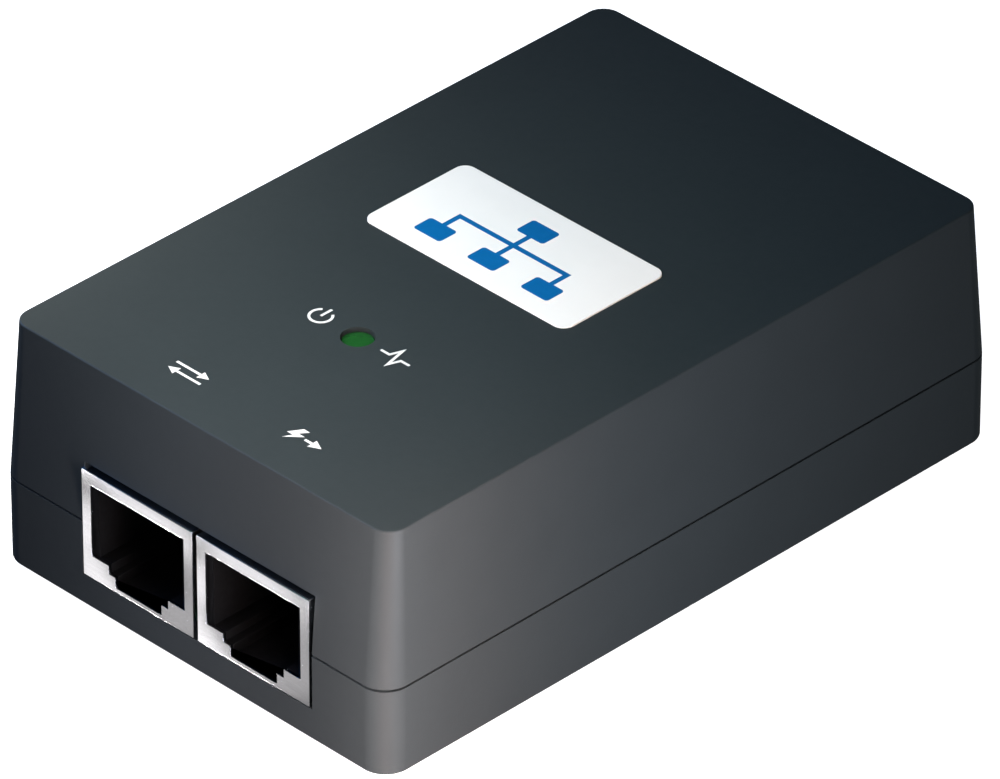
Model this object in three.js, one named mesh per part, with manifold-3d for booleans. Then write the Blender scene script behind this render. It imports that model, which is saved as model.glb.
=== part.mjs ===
// A power-over-Ethernet injector: a two-part plastic case with two shielded 8P8C jacks in front,
// a mains inlet at the rear, and the power supply board that joins them.
// Millimetres. +X is right and -Y is the front with the jacks, +Z is up, and the feet stand on z = 0.

import * as THREE from 'three';
import { mergeVertices } from 'three/addons/utils/BufferGeometryUtils.js';
import Module from 'manifold-3d';

const wasm = await Module();
wasm.setup();

// ---------------------------------------------------------------------------
// Driving dimensions
// ---------------------------------------------------------------------------

const CASE_WIDTH = 55.7;
const CASE_LENGTH = 87;
const BASE_HEIGHT = 10.1;
const COVER_HEIGHT = 18.1;
const CASE_HEIGHT = BASE_HEIGHT + COVER_HEIGHT;
const DRAFT_X = 0.8;
const DRAFT_Y = 1.5;
const WALL = 2;
const ROOF = 2;
const FLOOR = 1.4;
const EDGE_ROUND = 0.2;
const EDGE_STEPS = 2;
const PARTING_GAP = 0.26;
const CORNER_STEPS = 5;
const CORNER_RADIUS = 3;

const LIP_HEIGHT = 1.5;
const LIP_INSET = 1.15;
const RABBET_HEIGHT = 1.9;
const RABBET_INSET = 0.9;

const FOOT_STAND = 0.8;
const FOOT_RADIUS = 4.9;
const FOOT_RECESS = 0.5;
const FOOT_X = 19.5;
const FOOT_Y = 27.5;

const BOSS_X = 22.3;
const BOSS_Y = 37.9;
const BOSS_RADIUS = 3.3;
const SCREW_BORE = 1.7;
const SCREW_PILOT = 1.6;
const SCREW_SHANK = 1.35;
const SCREW_HEAD = 2.5;
const SCREW_HEAD_HEIGHT = 1.9;
const SCREW_LENGTH = 11.5;
const COUNTERBORE = 2.85;
const COUNTERBORE_DEPTH = 4.6;
const PILOT_DEPTH = 7.5;

const LABEL_WIDTH = 28.85;
const LABEL_LENGTH = 14.7;
const LABEL_RADIUS = 1.35;
const LABEL_X = -0.92;
const LABEL_Y = 2.9;
const LABEL_THICK = 0.4;
const LABEL_RECESS = 0.3;
const LABEL_GAP = 0.06;

const LED_X = -0.22;
const LED_Y = -19.7;
const LED_HOLE = 1.8;
const PIPE_RADIUS = 1.72;
const PIPE_SUNK = 0.35;
const PIPE_BELOW_ROOF = 6;
const LED_FLANGE_HEIGHT = 15;

const JACK_WIDTH = 16;
const JACK_HEIGHT = 12.8;
const JACK_DEPTH = 16;
const JACK_PITCH = 16.6;
const JACK_PAIR_X = 0.9;
const JACK_BOTTOM = 3.7;
const JACK_GAP_LEFT = 0.1;
const JACK_GAP_RIGHT = 0.35;
const JACK_GAP_BELOW = 0.12;
const JACK_GAP_ABOVE = 0.45;
const SHIELD_SHEET = 0.35;
const PLUG_HALF_WIDTH = 6;
const OPENING_HALF_WIDTH = 6.73;
const OPENING_BOTTOM = 2.73;
const OPENING_TOP = 11.37;
const STEP_HALF_WIDTH = 4.32;
const STEP_BOTTOM = 1.72;
const NOTCH_HALF_WIDTH = 3.34;
const NOTCH_BOTTOM = 0.49;
const CAVITY_TOP = 10.95;
const HOUSING_REAR = 12.8;
const HOUSING_BACK_WALL = 1;

const CONTACT_COUNT = 8;
const CONTACT_PITCH = 1.02;
const CONTACT_WIDTH = 0.4;
const CONTACT_THICK = 0.25;
const CONTACT_SLOT = 0.62;
const CONTACT_BEND_Y = 3.6;
const CONTACT_BEND_Z = 11.12;
const CONTACT_BEND_RADIUS = 0.35;
const CONTACT_SLOPE = 26;
const CONTACT_REACH = 6.8;
const CONTACT_LEG_START = 4.2;

const INLET_WIDTH = 27;
const INLET_HEIGHT = 19.8;
const INLET_DEPTH = 20;
const INLET_Z = 14.2;
const INLET_CUT_GAP = 0.25;
const INLET_CAVITY_WIDTH = 24.4;
const INLET_CAVITY_HEIGHT = 16.9;
const INLET_CAVITY_DEPTH = 16.8;
const INLET_CHAMFER = 5.4;
const PIN_SPACING = 7;
const PIN_OFFSET = 2;
const PIN_THICK = 2;
const PIN_TALL = 4;
const PIN_TIP_DEPTH = 3;
const PIN_TAPER = 1.2;
const PIN_TAIL = 0.8;
const PIN_BEHIND = 1.4;

const BOARD_WIDTH = 51.2;
const BOARD_LENGTH = 82.2;
const BOARD_BOTTOM = 2.4;
const BOARD_THICK = 1.2;
const BOARD_TOP = BOARD_BOTTOM + BOARD_THICK;
const PART_GAP = 0.05;
const SEAT = BOARD_TOP + PART_GAP;
const POST_RADIUS = 1.6;
const POSTS = [[-23, -12], [23, -12], [-23, 10], [23, 10], [0, -16], [0, 20]];

// ---------------------------------------------------------------------------
// Materials
// ---------------------------------------------------------------------------

function material(color, roughness, metalness = 0) {
  return new THREE.MeshStandardMaterial({ color, roughness, metalness });
}

const casePlastic = material(0x30393e, 0.45);
const labelFilm = material(0xf4f4f4, 0.4);
const greenLens = material(0x23602d, 0.3);
const footRubber = material(0x1b1c1d, 0.85);
const screwSteel = material(0x6c6f72, 0.4, 1);
const shieldSteel = material(0xd9d7da, 0.3, 1);
const blackPlastic = material(0x0d0e0f, 0.6);
const contactGold = material(0xd8aa4a, 0.25, 1);
const pinMetal = material(0xc9c6bd, 0.25, 1);
const boardLaminate = material(0x1f5a37, 0.5);
const clearFilm = material(0xd9dcd2, 0.4);
const fuseGlass = material(0xcfd6d4, 0.15);
const ferrite = material(0x3a3937, 0.7);
const copperWire = material(0xb5642c, 0.35, 1);
const yellowTape = material(0xd9b23a, 0.5);
const yellowBox = material(0xd7b44a, 0.5);
const blueDisc = material(0x2b5f9e, 0.4);
const capacitorSleeve = material(0x1d2430, 0.35);
const chipEpoxy = material(0x17181a, 0.6);
const heatsinkAluminium = material(0xb4b7ba, 0.4, 1);
const bobbinPlastic = material(0x2a2724, 0.6);

// ---------------------------------------------------------------------------
// Solids: three.js geometries as manifolds and back
// ---------------------------------------------------------------------------

function solid(geometry) {
  const bare = geometry.clone();
  bare.deleteAttribute('normal');
  bare.deleteAttribute('uv');
  const merged = mergeVertices(bare, 1e-4);
  const mesh = new wasm.Mesh({
    numProp: 3,
    vertProperties: new Float32Array(merged.attributes.position.array),
    triVerts: new Uint32Array(merged.index.array),
  });
  return new wasm.Manifold(mesh);
}

function geometryOf(manifold) {
  const mesh = manifold.getMesh();
  const geometry = new THREE.BufferGeometry();
  geometry.setAttribute('position', new THREE.BufferAttribute(new Float32Array(mesh.vertProperties), 3));
  geometry.setIndex(new THREE.BufferAttribute(new Uint32Array(mesh.triVerts), 1));
  return geometry;
}

function join(first, ...others) {
  return others.reduce((sum, next) => sum.add(next), first);
}

function cut(body, ...tools) {
  return tools.reduce((rest, tool) => rest.subtract(tool), body);
}

// A box from its lowest to its highest corner.
function block(x0, y0, z0, x1, y1, z1) {
  const geometry = new THREE.BoxGeometry(x1 - x0, y1 - y0, z1 - z0);
  geometry.translate((x0 + x1) / 2, (y0 + y1) / 2, (z0 + z1) / 2);
  return solid(geometry);
}

// An upright round bar from z0 to z1.
function bar(radius, x, y, z0, z1, sides = 16) {
  const geometry = new THREE.CylinderGeometry(radius, radius, z1 - z0, sides);
  geometry.rotateX(Math.PI / 2);
  geometry.translate(x, y, (z0 + z1) / 2);
  return solid(geometry);
}

// A solid turned about Z from [radius, height] pairs that start and end on the axis, lowest first.
function turned(profile, sides = 16) {
  const geometry = new THREE.LatheGeometry(profile.map(([r, h]) => new THREE.Vector2(r, h)), sides);
  geometry.rotateX(Math.PI / 2);
  return solid(geometry);
}

// An outline in X and Z pushed along Y from y0 to y1.
function prismAlongY(outline, y0, y1) {
  const shape = new THREE.Shape(outline.map(([x, z]) => new THREE.Vector2(x, z)));
  const geometry = new THREE.ExtrudeGeometry(shape, { depth: y1 - y0, bevelEnabled: false });
  geometry.rotateX(Math.PI / 2);
  geometry.translate(0, y1, 0);
  return solid(geometry);
}

// An outline in X and Y pushed along Z from z0 to z1.
function prismAlongZ(outline, z0, z1) {
  const shape = new THREE.Shape(outline.map(([x, y]) => new THREE.Vector2(x, y)));
  const geometry = new THREE.ExtrudeGeometry(shape, { depth: z1 - z0, bevelEnabled: false });
  geometry.translate(0, 0, z0);
  return solid(geometry);
}

// A rectangle with rounded corners, anticlockwise from the front right one.
function roundedOutline(halfX, halfY, radius, steps = CORNER_STEPS) {
  const points = [];
  const corners = [[1, -1], [1, 1], [-1, 1], [-1, -1]];
  corners.forEach(([sideX, sideY], corner) => {
    const start = (corner - 1) * Math.PI / 2;
    for (let step = 0; step <= steps; step += 1) {
      const angle = start + (step / steps) * Math.PI / 2;
      const x = sideX * (halfX - radius) + radius * Math.cos(angle);
      const y = sideY * (halfY - radius) + radius * Math.sin(angle);
      points.push([x, y]);
    }
  });
  return points;
}

// A closed solid through convex outlines of equal length, each with its height, lowest first.
function loft(rings) {
  const count = rings[0].outline.length;
  const positions = rings.flatMap(({ outline, z }) => outline.flatMap(([x, y]) => [x, y, z]));
  const index = [];
  for (let ring = 0; ring < rings.length - 1; ring += 1) {
    for (let i = 0; i < count; i += 1) {
      const next = (i + 1) % count;
      const low = ring * count;
      const high = low + count;
      index.push(low + i, low + next, high + next);
      index.push(low + i, high + next, high + i);
    }
  }
  const top = (rings.length - 1) * count;
  for (let i = 1; i < count - 1; i += 1) {
    index.push(0, i + 1, i);
    index.push(top, top + i, top + i + 1);
  }
  const geometry = new THREE.BufferGeometry();
  geometry.setAttribute('position', new THREE.Float32BufferAttribute(positions, 3));
  geometry.setIndex(index);
  return solid(geometry);
}

// ---------------------------------------------------------------------------
// The scene graph
// ---------------------------------------------------------------------------

const injector = new THREE.Group();
const body = new THREE.Group();
body.position.z = FOOT_STAND;
injector.add(body);

function add(group, name, manifold, look, x = 0, y = 0, z = 0) {
  const mesh = new THREE.Mesh(geometryOf(manifold), look);
  mesh.name = name;
  mesh.position.set(x, y, z);
  group.add(mesh);
}

// ---------------------------------------------------------------------------
// Case
// ---------------------------------------------------------------------------

// The case outline moved in by a distance from each side wall and each end wall.
function caseOutline(insetX, insetY = insetX) {
  const inset = Math.min(insetX, insetY);
  const radius = Math.max(CORNER_RADIUS - inset, 0.4);
  return roundedOutline(CASE_WIDTH / 2 - insetX, CASE_LENGTH / 2 - insetY, radius);
}

// The cover's outline at a height, with its draft.
function coverOutline(z, inset) {
  const rise = Math.max(z - BASE_HEIGHT, 0) / COVER_HEIGHT;
  return caseOutline(inset + DRAFT_X * rise, inset + DRAFT_Y * rise);
}

// Insets and drops of a small rounded edge, from the wall to the flat.
function edgeSteps() {
  const steps = [];
  for (let step = 0; step <= EDGE_STEPS; step += 1) {
    const angle = (step / EDGE_STEPS) * Math.PI / 2;
    steps.push([EDGE_ROUND * (1 - Math.cos(angle)), EDGE_ROUND * (1 - Math.sin(angle))]);
  }
  return steps;
}

function straightRings(inset, z0, z1) {
  return [{ outline: caseOutline(inset), z: z0 }, { outline: caseOutline(inset), z: z1 }];
}

function bossPlaces() {
  return [[BOSS_X, -BOSS_Y], [BOSS_X, BOSS_Y], [-BOSS_X, BOSS_Y], [-BOSS_X, -BOSS_Y]];
}

function footPlaces() {
  return [[FOOT_X, -FOOT_Y], [FOOT_X, FOOT_Y], [-FOOT_X, FOOT_Y], [-FOOT_X, -FOOT_Y]];
}

// The window that both jacks share in the front walls, with more room above and to the right of them.
function jackWindow() {
  const left = JACK_PAIR_X - (JACK_PITCH + JACK_WIDTH) / 2 - JACK_GAP_LEFT;
  const right = JACK_PAIR_X + (JACK_PITCH + JACK_WIDTH) / 2 + JACK_GAP_RIGHT;
  const front = -CASE_LENGTH / 2;
  const top = JACK_BOTTOM + JACK_HEIGHT + JACK_GAP_ABOVE;
  return block(left, front - 1, JACK_BOTTOM - JACK_GAP_BELOW, right, front + WALL + 2.5, top);
}

// The window for the mains inlet in the rear walls.
function inletWindow() {
  const halfWidth = INLET_WIDTH / 2 + INLET_CUT_GAP;
  const halfHeight = INLET_HEIGHT / 2 + INLET_CUT_GAP;
  const rear = CASE_LENGTH / 2;
  return block(-halfWidth, rear - WALL - 2.5, INLET_Z - halfHeight, halfWidth, rear + 1, INLET_Z + halfHeight);
}

function labelOutline(grow) {
  const outline = roundedOutline(LABEL_WIDTH / 2 + grow, LABEL_LENGTH / 2 + grow, LABEL_RADIUS + grow);
  return outline.map(([x, y]) => [x + LABEL_X, y + LABEL_Y]);
}

function topCover() {
  const bottom = BASE_HEIGHT + PARTING_GAP / 2;
  const rings = [{ outline: coverOutline(bottom, 0), z: bottom }];
  for (const [inset, drop] of edgeSteps()) {
    const z = CASE_HEIGHT - drop;
    rings.push({ outline: coverOutline(z, inset), z });
  }
  const hollow = loft([
    { outline: coverOutline(0, WALL), z: BASE_HEIGHT - 1 },
    { outline: coverOutline(BASE_HEIGHT, WALL), z: BASE_HEIGHT },
    { outline: coverOutline(CASE_HEIGHT - ROOF, WALL), z: CASE_HEIGHT - ROOF },
  ]);
  const rabbet = loft(straightRings(RABBET_INSET, BASE_HEIGHT - 1, BASE_HEIGHT + RABBET_HEIGHT));
  let cover = cut(loft(rings), hollow, rabbet);
  const bossBottom = BASE_HEIGHT + 0.4;
  for (const [x, y] of bossPlaces()) {
    const boss = bar(BOSS_RADIUS, x, y, bossBottom, CASE_HEIGHT - ROOF / 2);
    const pilot = bar(SCREW_PILOT, x, y, bossBottom - 1, bossBottom + PILOT_DEPTH);
    cover = cut(join(cover, boss), pilot);
  }
  const pipeHub = bar(LED_HOLE + 1.3, LED_X, LED_Y, CASE_HEIGHT - ROOF - 3, CASE_HEIGHT - ROOF / 2);
  const pipeHole = bar(LED_HOLE, LED_X, LED_Y, CASE_HEIGHT - ROOF - 4, CASE_HEIGHT + 1);
  const labelPocket = prismAlongZ(labelOutline(LABEL_GAP), CASE_HEIGHT - LABEL_RECESS, CASE_HEIGHT + 1);
  return cut(join(cover, pipeHub), pipeHole, labelPocket, jackWindow(), inletWindow());
}

function baseShell() {
  const top = BASE_HEIGHT - PARTING_GAP / 2;
  const rings = edgeSteps().reverse().map(([inset, drop]) => ({ outline: caseOutline(inset), z: drop }));
  rings.push({ outline: caseOutline(0), z: top });
  const lip = loft(straightRings(LIP_INSET, top - 1, BASE_HEIGHT + LIP_HEIGHT));
  const hollow = loft(straightRings(WALL, FLOOR, BASE_HEIGHT + LIP_HEIGHT + 1));
  let shell = cut(join(loft(rings), lip), hollow);
  for (const [x, y] of bossPlaces()) {
    const boss = bar(BOSS_RADIUS, x, y, FLOOR / 2, BASE_HEIGHT);
    const bore = bar(SCREW_BORE, x, y, -1, BASE_HEIGHT + 1);
    const counterbore = bar(COUNTERBORE, x, y, -1, COUNTERBORE_DEPTH);
    shell = cut(join(shell, boss), bore, counterbore);
  }
  for (const [x, y] of POSTS) {
    shell = join(shell, bar(POST_RADIUS, x, y, FLOOR / 2, BOARD_BOTTOM - PART_GAP, 8));
  }
  for (const [x, y] of footPlaces()) {
    shell = cut(shell, bar(FOOT_RADIUS + 0.3, x, y, -1, FOOT_RECESS, 24));
  }
  return cut(shell, jackWindow(), inletWindow());
}

function labelPlate() {
  const low = CASE_HEIGHT - LABEL_RECESS + 0.02;
  return prismAlongZ(labelOutline(0), low, low + LABEL_THICK);
}

function lightPipe() {
  const top = CASE_HEIGHT - PIPE_SUNK;
  return bar(PIPE_RADIUS, 0, 0, CASE_HEIGHT - ROOF - PIPE_BELOW_ROOF, top, 24);
}

function foot() {
  const round = 0.4;
  const top = FOOT_STAND + FOOT_RECESS - 0.02;
  return turned([[0, 0], [FOOT_RADIUS - round, 0], [FOOT_RADIUS, round], [FOOT_RADIUS, top], [0, top]], 24);
}

// A pan-head self-tapping screw, head down, with its head's lowest face at z = 0.
function caseScrew() {
  const chamfer = 0.5;
  const top = SCREW_HEAD_HEIGHT + SCREW_LENGTH;
  const profile = [
    [0, 0],
    [SCREW_HEAD - chamfer, 0],
    [SCREW_HEAD, chamfer],
    [SCREW_HEAD, SCREW_HEAD_HEIGHT],
    [SCREW_SHANK, SCREW_HEAD_HEIGHT],
    [SCREW_SHANK, top - 2],
    [0, top],
  ];
  const slotHalf = 0.35;
  const armHalf = 1.5;
  const slotDepth = 1.1;
  const across = block(-armHalf, -slotHalf, -1, armHalf, slotHalf, slotDepth);
  const along = block(-slotHalf, -armHalf, -1, slotHalf, armHalf, slotDepth);
  return cut(turned(profile), join(across, along));
}

const caseGroup = new THREE.Group();
body.add(caseGroup);
add(caseGroup, 'top_cover', topCover(), casePlastic);
add(caseGroup, 'base_shell', baseShell(), casePlastic);
add(caseGroup, 'label_plate', labelPlate(), labelFilm);
add(caseGroup, 'light_pipe', lightPipe(), greenLens, LED_X, LED_Y);
footPlaces().forEach(([x, y], i) => add(caseGroup, `foot_${i + 1}`, foot(), footRubber, x, y, -FOOT_STAND));
const screwSeat = COUNTERBORE_DEPTH - SCREW_HEAD_HEIGHT - PART_GAP;
bossPlaces().forEach(([x, y], i) => add(caseGroup, `case_screw_${i + 1}`, caseScrew(), screwSteel, x, y, screwSeat));

// ---------------------------------------------------------------------------
// Jacks. Local origin: middle of the face's lower edge, with +Y going into the case.
// ---------------------------------------------------------------------------

// The plug opening: a wide window, a step and a latch notch, symmetrical about x = 0.
function plugOutline(halfWidth, top) {
  const right = [
    [halfWidth, top],
    [halfWidth, OPENING_BOTTOM],
    [STEP_HALF_WIDTH, OPENING_BOTTOM],
    [STEP_HALF_WIDTH, STEP_BOTTOM],
    [NOTCH_HALF_WIDTH, STEP_BOTTOM],
    [NOTCH_HALF_WIDTH, NOTCH_BOTTOM],
  ];
  const left = right.map(([x, z]) => [-x, z]).reverse();
  return [...right, ...left].reverse();
}

function jackShield() {
  const half = JACK_WIDTH / 2;
  const outer = block(-half, 0, 0, half, JACK_DEPTH, JACK_HEIGHT);
  const inner = block(
    -half + SHIELD_SHEET, SHIELD_SHEET, SHIELD_SHEET,
    half - SHIELD_SHEET, JACK_DEPTH + 1, JACK_HEIGHT - SHIELD_SHEET,
  );
  const opening = prismAlongY(plugOutline(OPENING_HALF_WIDTH, OPENING_TOP), -1, 1);
  const tailSlot = block(-half + 1, JACK_DEPTH - 3, -1, half - 1, JACK_DEPTH + 1, 1);
  return cut(outer, inner, opening, tailSlot);
}

function contactPlaces() {
  return Array.from({ length: CONTACT_COUNT }, (_, i) => (i - (CONTACT_COUNT - 1) / 2) * CONTACT_PITCH);
}

function jackHousing() {
  const half = JACK_WIDTH / 2 - SHIELD_SHEET - 0.2;
  const low = SHIELD_SHEET + 0.08;
  const high = JACK_HEIGHT - SHIELD_SHEET - 0.1;
  const front = SHIELD_SHEET + 0.1;
  const outer = block(-half, front, low, half, HOUSING_REAR, high);
  const cavity = prismAlongY(plugOutline(PLUG_HALF_WIDTH, CAVITY_TOP), -1, HOUSING_REAR - HOUSING_BACK_WALL);
  const slots = contactPlaces().map((x) => block(
    x - CONTACT_SLOT / 2, CONTACT_BEND_Y - 1, CAVITY_TOP - 0.5,
    x + CONTACT_SLOT / 2, HOUSING_REAR + 1, CAVITY_TOP + 1,
  ));
  return cut(outer, cavity, ...slots);
}

// The moulded insert behind the housing, with the wires' fixed legs and solder tails.
function contactCarrier() {
  const half = JACK_WIDTH / 2 - SHIELD_SHEET - 0.6;
  const front = HOUSING_REAR + 0.3;
  const bottom = SHIELD_SHEET + 0.6;
  let carrier = block(-half, front, bottom, half, JACK_DEPTH - 0.1, JACK_HEIGHT - SHIELD_SHEET - 0.2);
  const legTop = CONTACT_BEND_Z + CONTACT_BEND_RADIUS + CONTACT_THICK / 2;
  for (const x of contactPlaces()) {
    const side = CONTACT_WIDTH / 2;
    const leg = block(x - side, CONTACT_LEG_START, legTop - CONTACT_THICK, x + side, front + 1, legTop);
    const tail = block(x - side, JACK_DEPTH - 1.2, PART_GAP, x + side, JACK_DEPTH - 0.9, bottom + 1);
    carrier = join(carrier, leg, tail);
  }
  return carrier;
}

// One spring wire: a hairpin at the front and an arm that slopes back and down into the cavity.
function contactArm() {
  const slope = THREE.MathUtils.degToRad(CONTACT_SLOPE);
  const bend = CONTACT_BEND_RADIUS;
  const side = CONTACT_THICK / 2;
  const bendSteps = 6;
  const outer = [[0.4, bend + side]];
  const inner = [[0.4, bend - side]];
  for (let step = 0; step <= bendSteps; step += 1) {
    const angle = Math.PI / 2 + (step / bendSteps) * (Math.PI - slope);
    outer.push([(bend + side) * Math.cos(angle), (bend + side) * Math.sin(angle)]);
    inner.push([(bend - side) * Math.cos(angle), (bend - side) * Math.sin(angle)]);
  }
  const along = [Math.cos(slope) * CONTACT_REACH, -Math.sin(slope) * CONTACT_REACH];
  for (const rail of [outer, inner]) {
    const [y, z] = rail.at(-1);
    rail.push([y + along[0], z + along[1]]);
  }
  const outline = [...outer, ...inner.reverse()];
  const shape = new THREE.Shape(outline.map(([y, z]) => new THREE.Vector2(y, z)));
  const geometry = new THREE.ExtrudeGeometry(shape, { depth: CONTACT_WIDTH, bevelEnabled: false });
  geometry.translate(0, 0, -CONTACT_WIDTH / 2);
  // Shape X becomes Y, shape Y becomes Z, and the push becomes X.
  geometry.applyMatrix4(new THREE.Matrix4().set(0, 0, 1, 0, 1, 0, 0, 0, 0, 1, 0, 0, 0, 0, 0, 1));
  return solid(geometry);
}

function addJack(prefix, x) {
  const jack = new THREE.Group();
  jack.position.set(x, -CASE_LENGTH / 2, JACK_BOTTOM);
  body.add(jack);
  add(jack, `${prefix}_shield`, jackShield(), shieldSteel);
  add(jack, `${prefix}_housing`, jackHousing(), blackPlastic);
  add(jack, `${prefix}_contact_carrier`, contactCarrier(), blackPlastic);
  contactPlaces().forEach((place, i) => {
    add(jack, `${prefix}_contact_${i + 1}`, contactArm(), contactGold, place, CONTACT_BEND_Y, CONTACT_BEND_Z);
  });
}

addJack('lan', JACK_PAIR_X - JACK_PITCH / 2);
addJack('poe', JACK_PAIR_X + JACK_PITCH / 2);

// ---------------------------------------------------------------------------
// Mains inlet. Local origin: middle of its face, with -Y going into the case.
// ---------------------------------------------------------------------------

function inletHousing() {
  const halfX = INLET_WIDTH / 2;
  const halfZ = INLET_HEIGHT / 2;
  const cavityX = INLET_CAVITY_WIDTH / 2;
  const cavityZ = INLET_CAVITY_HEIGHT / 2;
  const cavity = [
    [-cavityX, -cavityZ],
    [cavityX, -cavityZ],
    [cavityX, cavityZ - INLET_CHAMFER],
    [cavityX - INLET_CHAMFER, cavityZ],
    [-cavityX + INLET_CHAMFER, cavityZ],
    [-cavityX, cavityZ - INLET_CHAMFER],
  ];
  const outer = block(-halfX, -INLET_DEPTH, -halfZ, halfX, 0, halfZ);
  const slots = pinPlaces().map(([, x, z]) => block(
    x - PIN_THICK / 2 - 0.1, -INLET_DEPTH - 1, z - PIN_TALL / 2 - 0.1,
    x + PIN_THICK / 2 + 0.1, -INLET_CAVITY_DEPTH + 1, z + PIN_TALL / 2 + 0.1,
  ));
  return cut(outer, prismAlongY(cavity, -INLET_CAVITY_DEPTH, 1), ...slots);
}

function pinPlaces() {
  return [
    ['inlet_line_pin', -PIN_SPACING, -PIN_OFFSET],
    ['inlet_neutral_pin', PIN_SPACING, -PIN_OFFSET],
    ['inlet_earth_pin', 0, PIN_OFFSET],
  ];
}

// A blade with a tapered tip, and behind the housing a tail down to the board.
function inletPin(z) {
  const halfX = PIN_THICK / 2;
  const halfZ = PIN_TALL / 2;
  const rear = -INLET_DEPTH - PIN_BEHIND;
  const blade = prismAlongZ([
    [-halfX, rear],
    [halfX, rear],
    [halfX, -PIN_TIP_DEPTH - PIN_TAPER],
    [halfX * 0.45, -PIN_TIP_DEPTH],
    [-halfX * 0.45, -PIN_TIP_DEPTH],
    [-halfX, -PIN_TIP_DEPTH - PIN_TAPER],
  ], -halfZ, halfZ);
  const boardLevel = SEAT - INLET_Z - z;
  return join(blade, block(-halfX, rear, boardLevel, halfX, rear + PIN_TAIL, halfZ));
}

const inlet = new THREE.Group();
inlet.position.set(0, CASE_LENGTH / 2, INLET_Z);
body.add(inlet);
add(inlet, 'inlet_housing', inletHousing(), blackPlastic);
pinPlaces().forEach(([name, x, z]) => add(inlet, name, inletPin(z), pinMetal, x, 0, z));

// ---------------------------------------------------------------------------
// Circuit board and what stands on it. Parts stand with their own z = 0 on the board.
// ---------------------------------------------------------------------------

function circuitBoard() {
  const halfX = BOARD_WIDTH / 2;
  const halfY = BOARD_LENGTH / 2;
  const plate = block(-halfX, -halfY, BOARD_BOTTOM, halfX, halfY, BOARD_TOP);
  const notches = bossPlaces().map(([x, y]) => {
    const radius = BOSS_RADIUS + 0.5;
    const square = block(
      Math.min(x, x * 2), Math.min(y, y * 2), 0,
      Math.max(x, x * 2), Math.max(y, y * 2), 9,
    );
    const sideX = block(Math.min(x, x * 2), y - radius, 0, Math.max(x, x * 2), y + radius, 9);
    const sideY = block(x - radius, Math.min(y, y * 2), 0, x + radius, Math.max(y, y * 2), 9);
    return join(square, bar(radius, x, y, 0, 9), sideX, sideY);
  });
  return cut(plate, ...notches);
}

function insulationSheet() {
  const halfX = BOARD_WIDTH / 2 - 0.4;
  const halfY = BOARD_LENGTH / 2 - 8.5;
  const sheet = block(-halfX, -halfY, FLOOR + PART_GAP, halfX, halfY, FLOOR + PART_GAP + 0.25);
  return cut(sheet, ...POSTS.map(([x, y]) => bar(POST_RADIUS + 0.4, x, y, 0, 9, 8)));
}

// A round body lying along Y between two leads that bend down to the board.
function axialPart(radius, length, collarRadius, collarLength) {
  const height = collarRadius + 0.5;
  const half = length / 2;
  const profile = [
    [0, -half],
    [collarRadius, -half],
    [collarRadius, -half + collarLength],
    [radius, -half + collarLength],
    [radius, half - collarLength],
    [collarRadius, half - collarLength],
    [collarRadius, half],
    [0, half],
  ];
  const geometry = new THREE.LatheGeometry(profile.map(([r, h]) => new THREE.Vector2(r, h)), 16);
  geometry.translate(0, 0, height);
  const wire = 0.4;
  const reach = 2;
  const leads = [-1, 1].map((side) => {
    const near = side * (half - 0.5);
    const far = side * (half + reach);
    const level = block(-wire, Math.min(near, far), height - wire, wire, Math.max(near, far), height + wire);
    const end = side * (half + reach - 2 * wire);
    return join(level, block(-wire, Math.min(end, far), 0, wire, Math.max(end, far), height));
  });
  return join(solid(geometry), ...leads);
}

function ringOutline(outer, inner, from, to, steps) {
  const arc = (radius, a, b) => Array.from({ length: steps + 1 }, (_, i) => {
    const angle = a + (b - a) * (i / steps);
    return [radius * Math.cos(angle), radius * Math.sin(angle)];
  });
  return [...arc(outer, from, to), ...arc(inner, to, from)];
}

const CHOKE_OUTER = 7;
const CHOKE_INNER = 4;
const CHOKE_LOW = 1.2;
const CHOKE_HIGH = 7.2;
const CHOKE_WIRE = 0.85;

function chokeCore(clearance = 0) {
  const outer = bar(CHOKE_OUTER + clearance, 0, 0, CHOKE_LOW - clearance, CHOKE_HIGH + clearance, 24);
  return cut(outer, bar(CHOKE_INNER - clearance, 0, 0, -1, 20, 24));
}

function chokeWinding(middle) {
  const span = THREE.MathUtils.degToRad(125);
  const from = middle - span / 2;
  const sector = ringOutline(CHOKE_OUTER + CHOKE_WIRE, CHOKE_INNER - CHOKE_WIRE, from, from + span, 12);
  return cut(prismAlongZ(sector, CHOKE_LOW - CHOKE_WIRE, CHOKE_HIGH + CHOKE_WIRE), chokeCore(0.12));
}

function filmCapacitor() {
  const bodyBox = block(-8.75, -3.4, 0.5, 8.75, 3.4, 12.5);
  return join(bodyBox, ...[-7.5, 7.5].map((x) => block(x - 0.4, -0.4, 0, x + 0.4, 0.4, 1)));
}

// A flat moulded body on straight legs in a row along X.
function rowPackage(width, depth, low, high, legs, pitch) {
  const bodyBox = block(-width / 2, -depth / 2, low, width / 2, depth / 2, high);
  const pins = Array.from({ length: legs }, (_, i) => {
    const x = (i - (legs - 1) / 2) * pitch;
    return block(x - 0.45, -0.3, 0, x + 0.45, 0.3, low + 0.5);
  });
  return join(bodyBox, ...pins);
}

function dualInlineChip(width, length, pins, pitch) {
  const bodyBox = block(-width / 2, -length / 2, 0.6, width / 2, length / 2, 3.8);
  const legs = [];
  for (let i = 0; i < pins; i += 1) {
    const y = (i - (pins - 1) / 2) * pitch;
    for (const side of [-1, 1]) {
      const x = side * (width / 2 + 0.3);
      legs.push(block(x - 0.5, y - 0.3, 0, x + 0.5, y + 0.3, 2.2));
    }
  }
  return join(bodyBox, ...legs);
}

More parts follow.
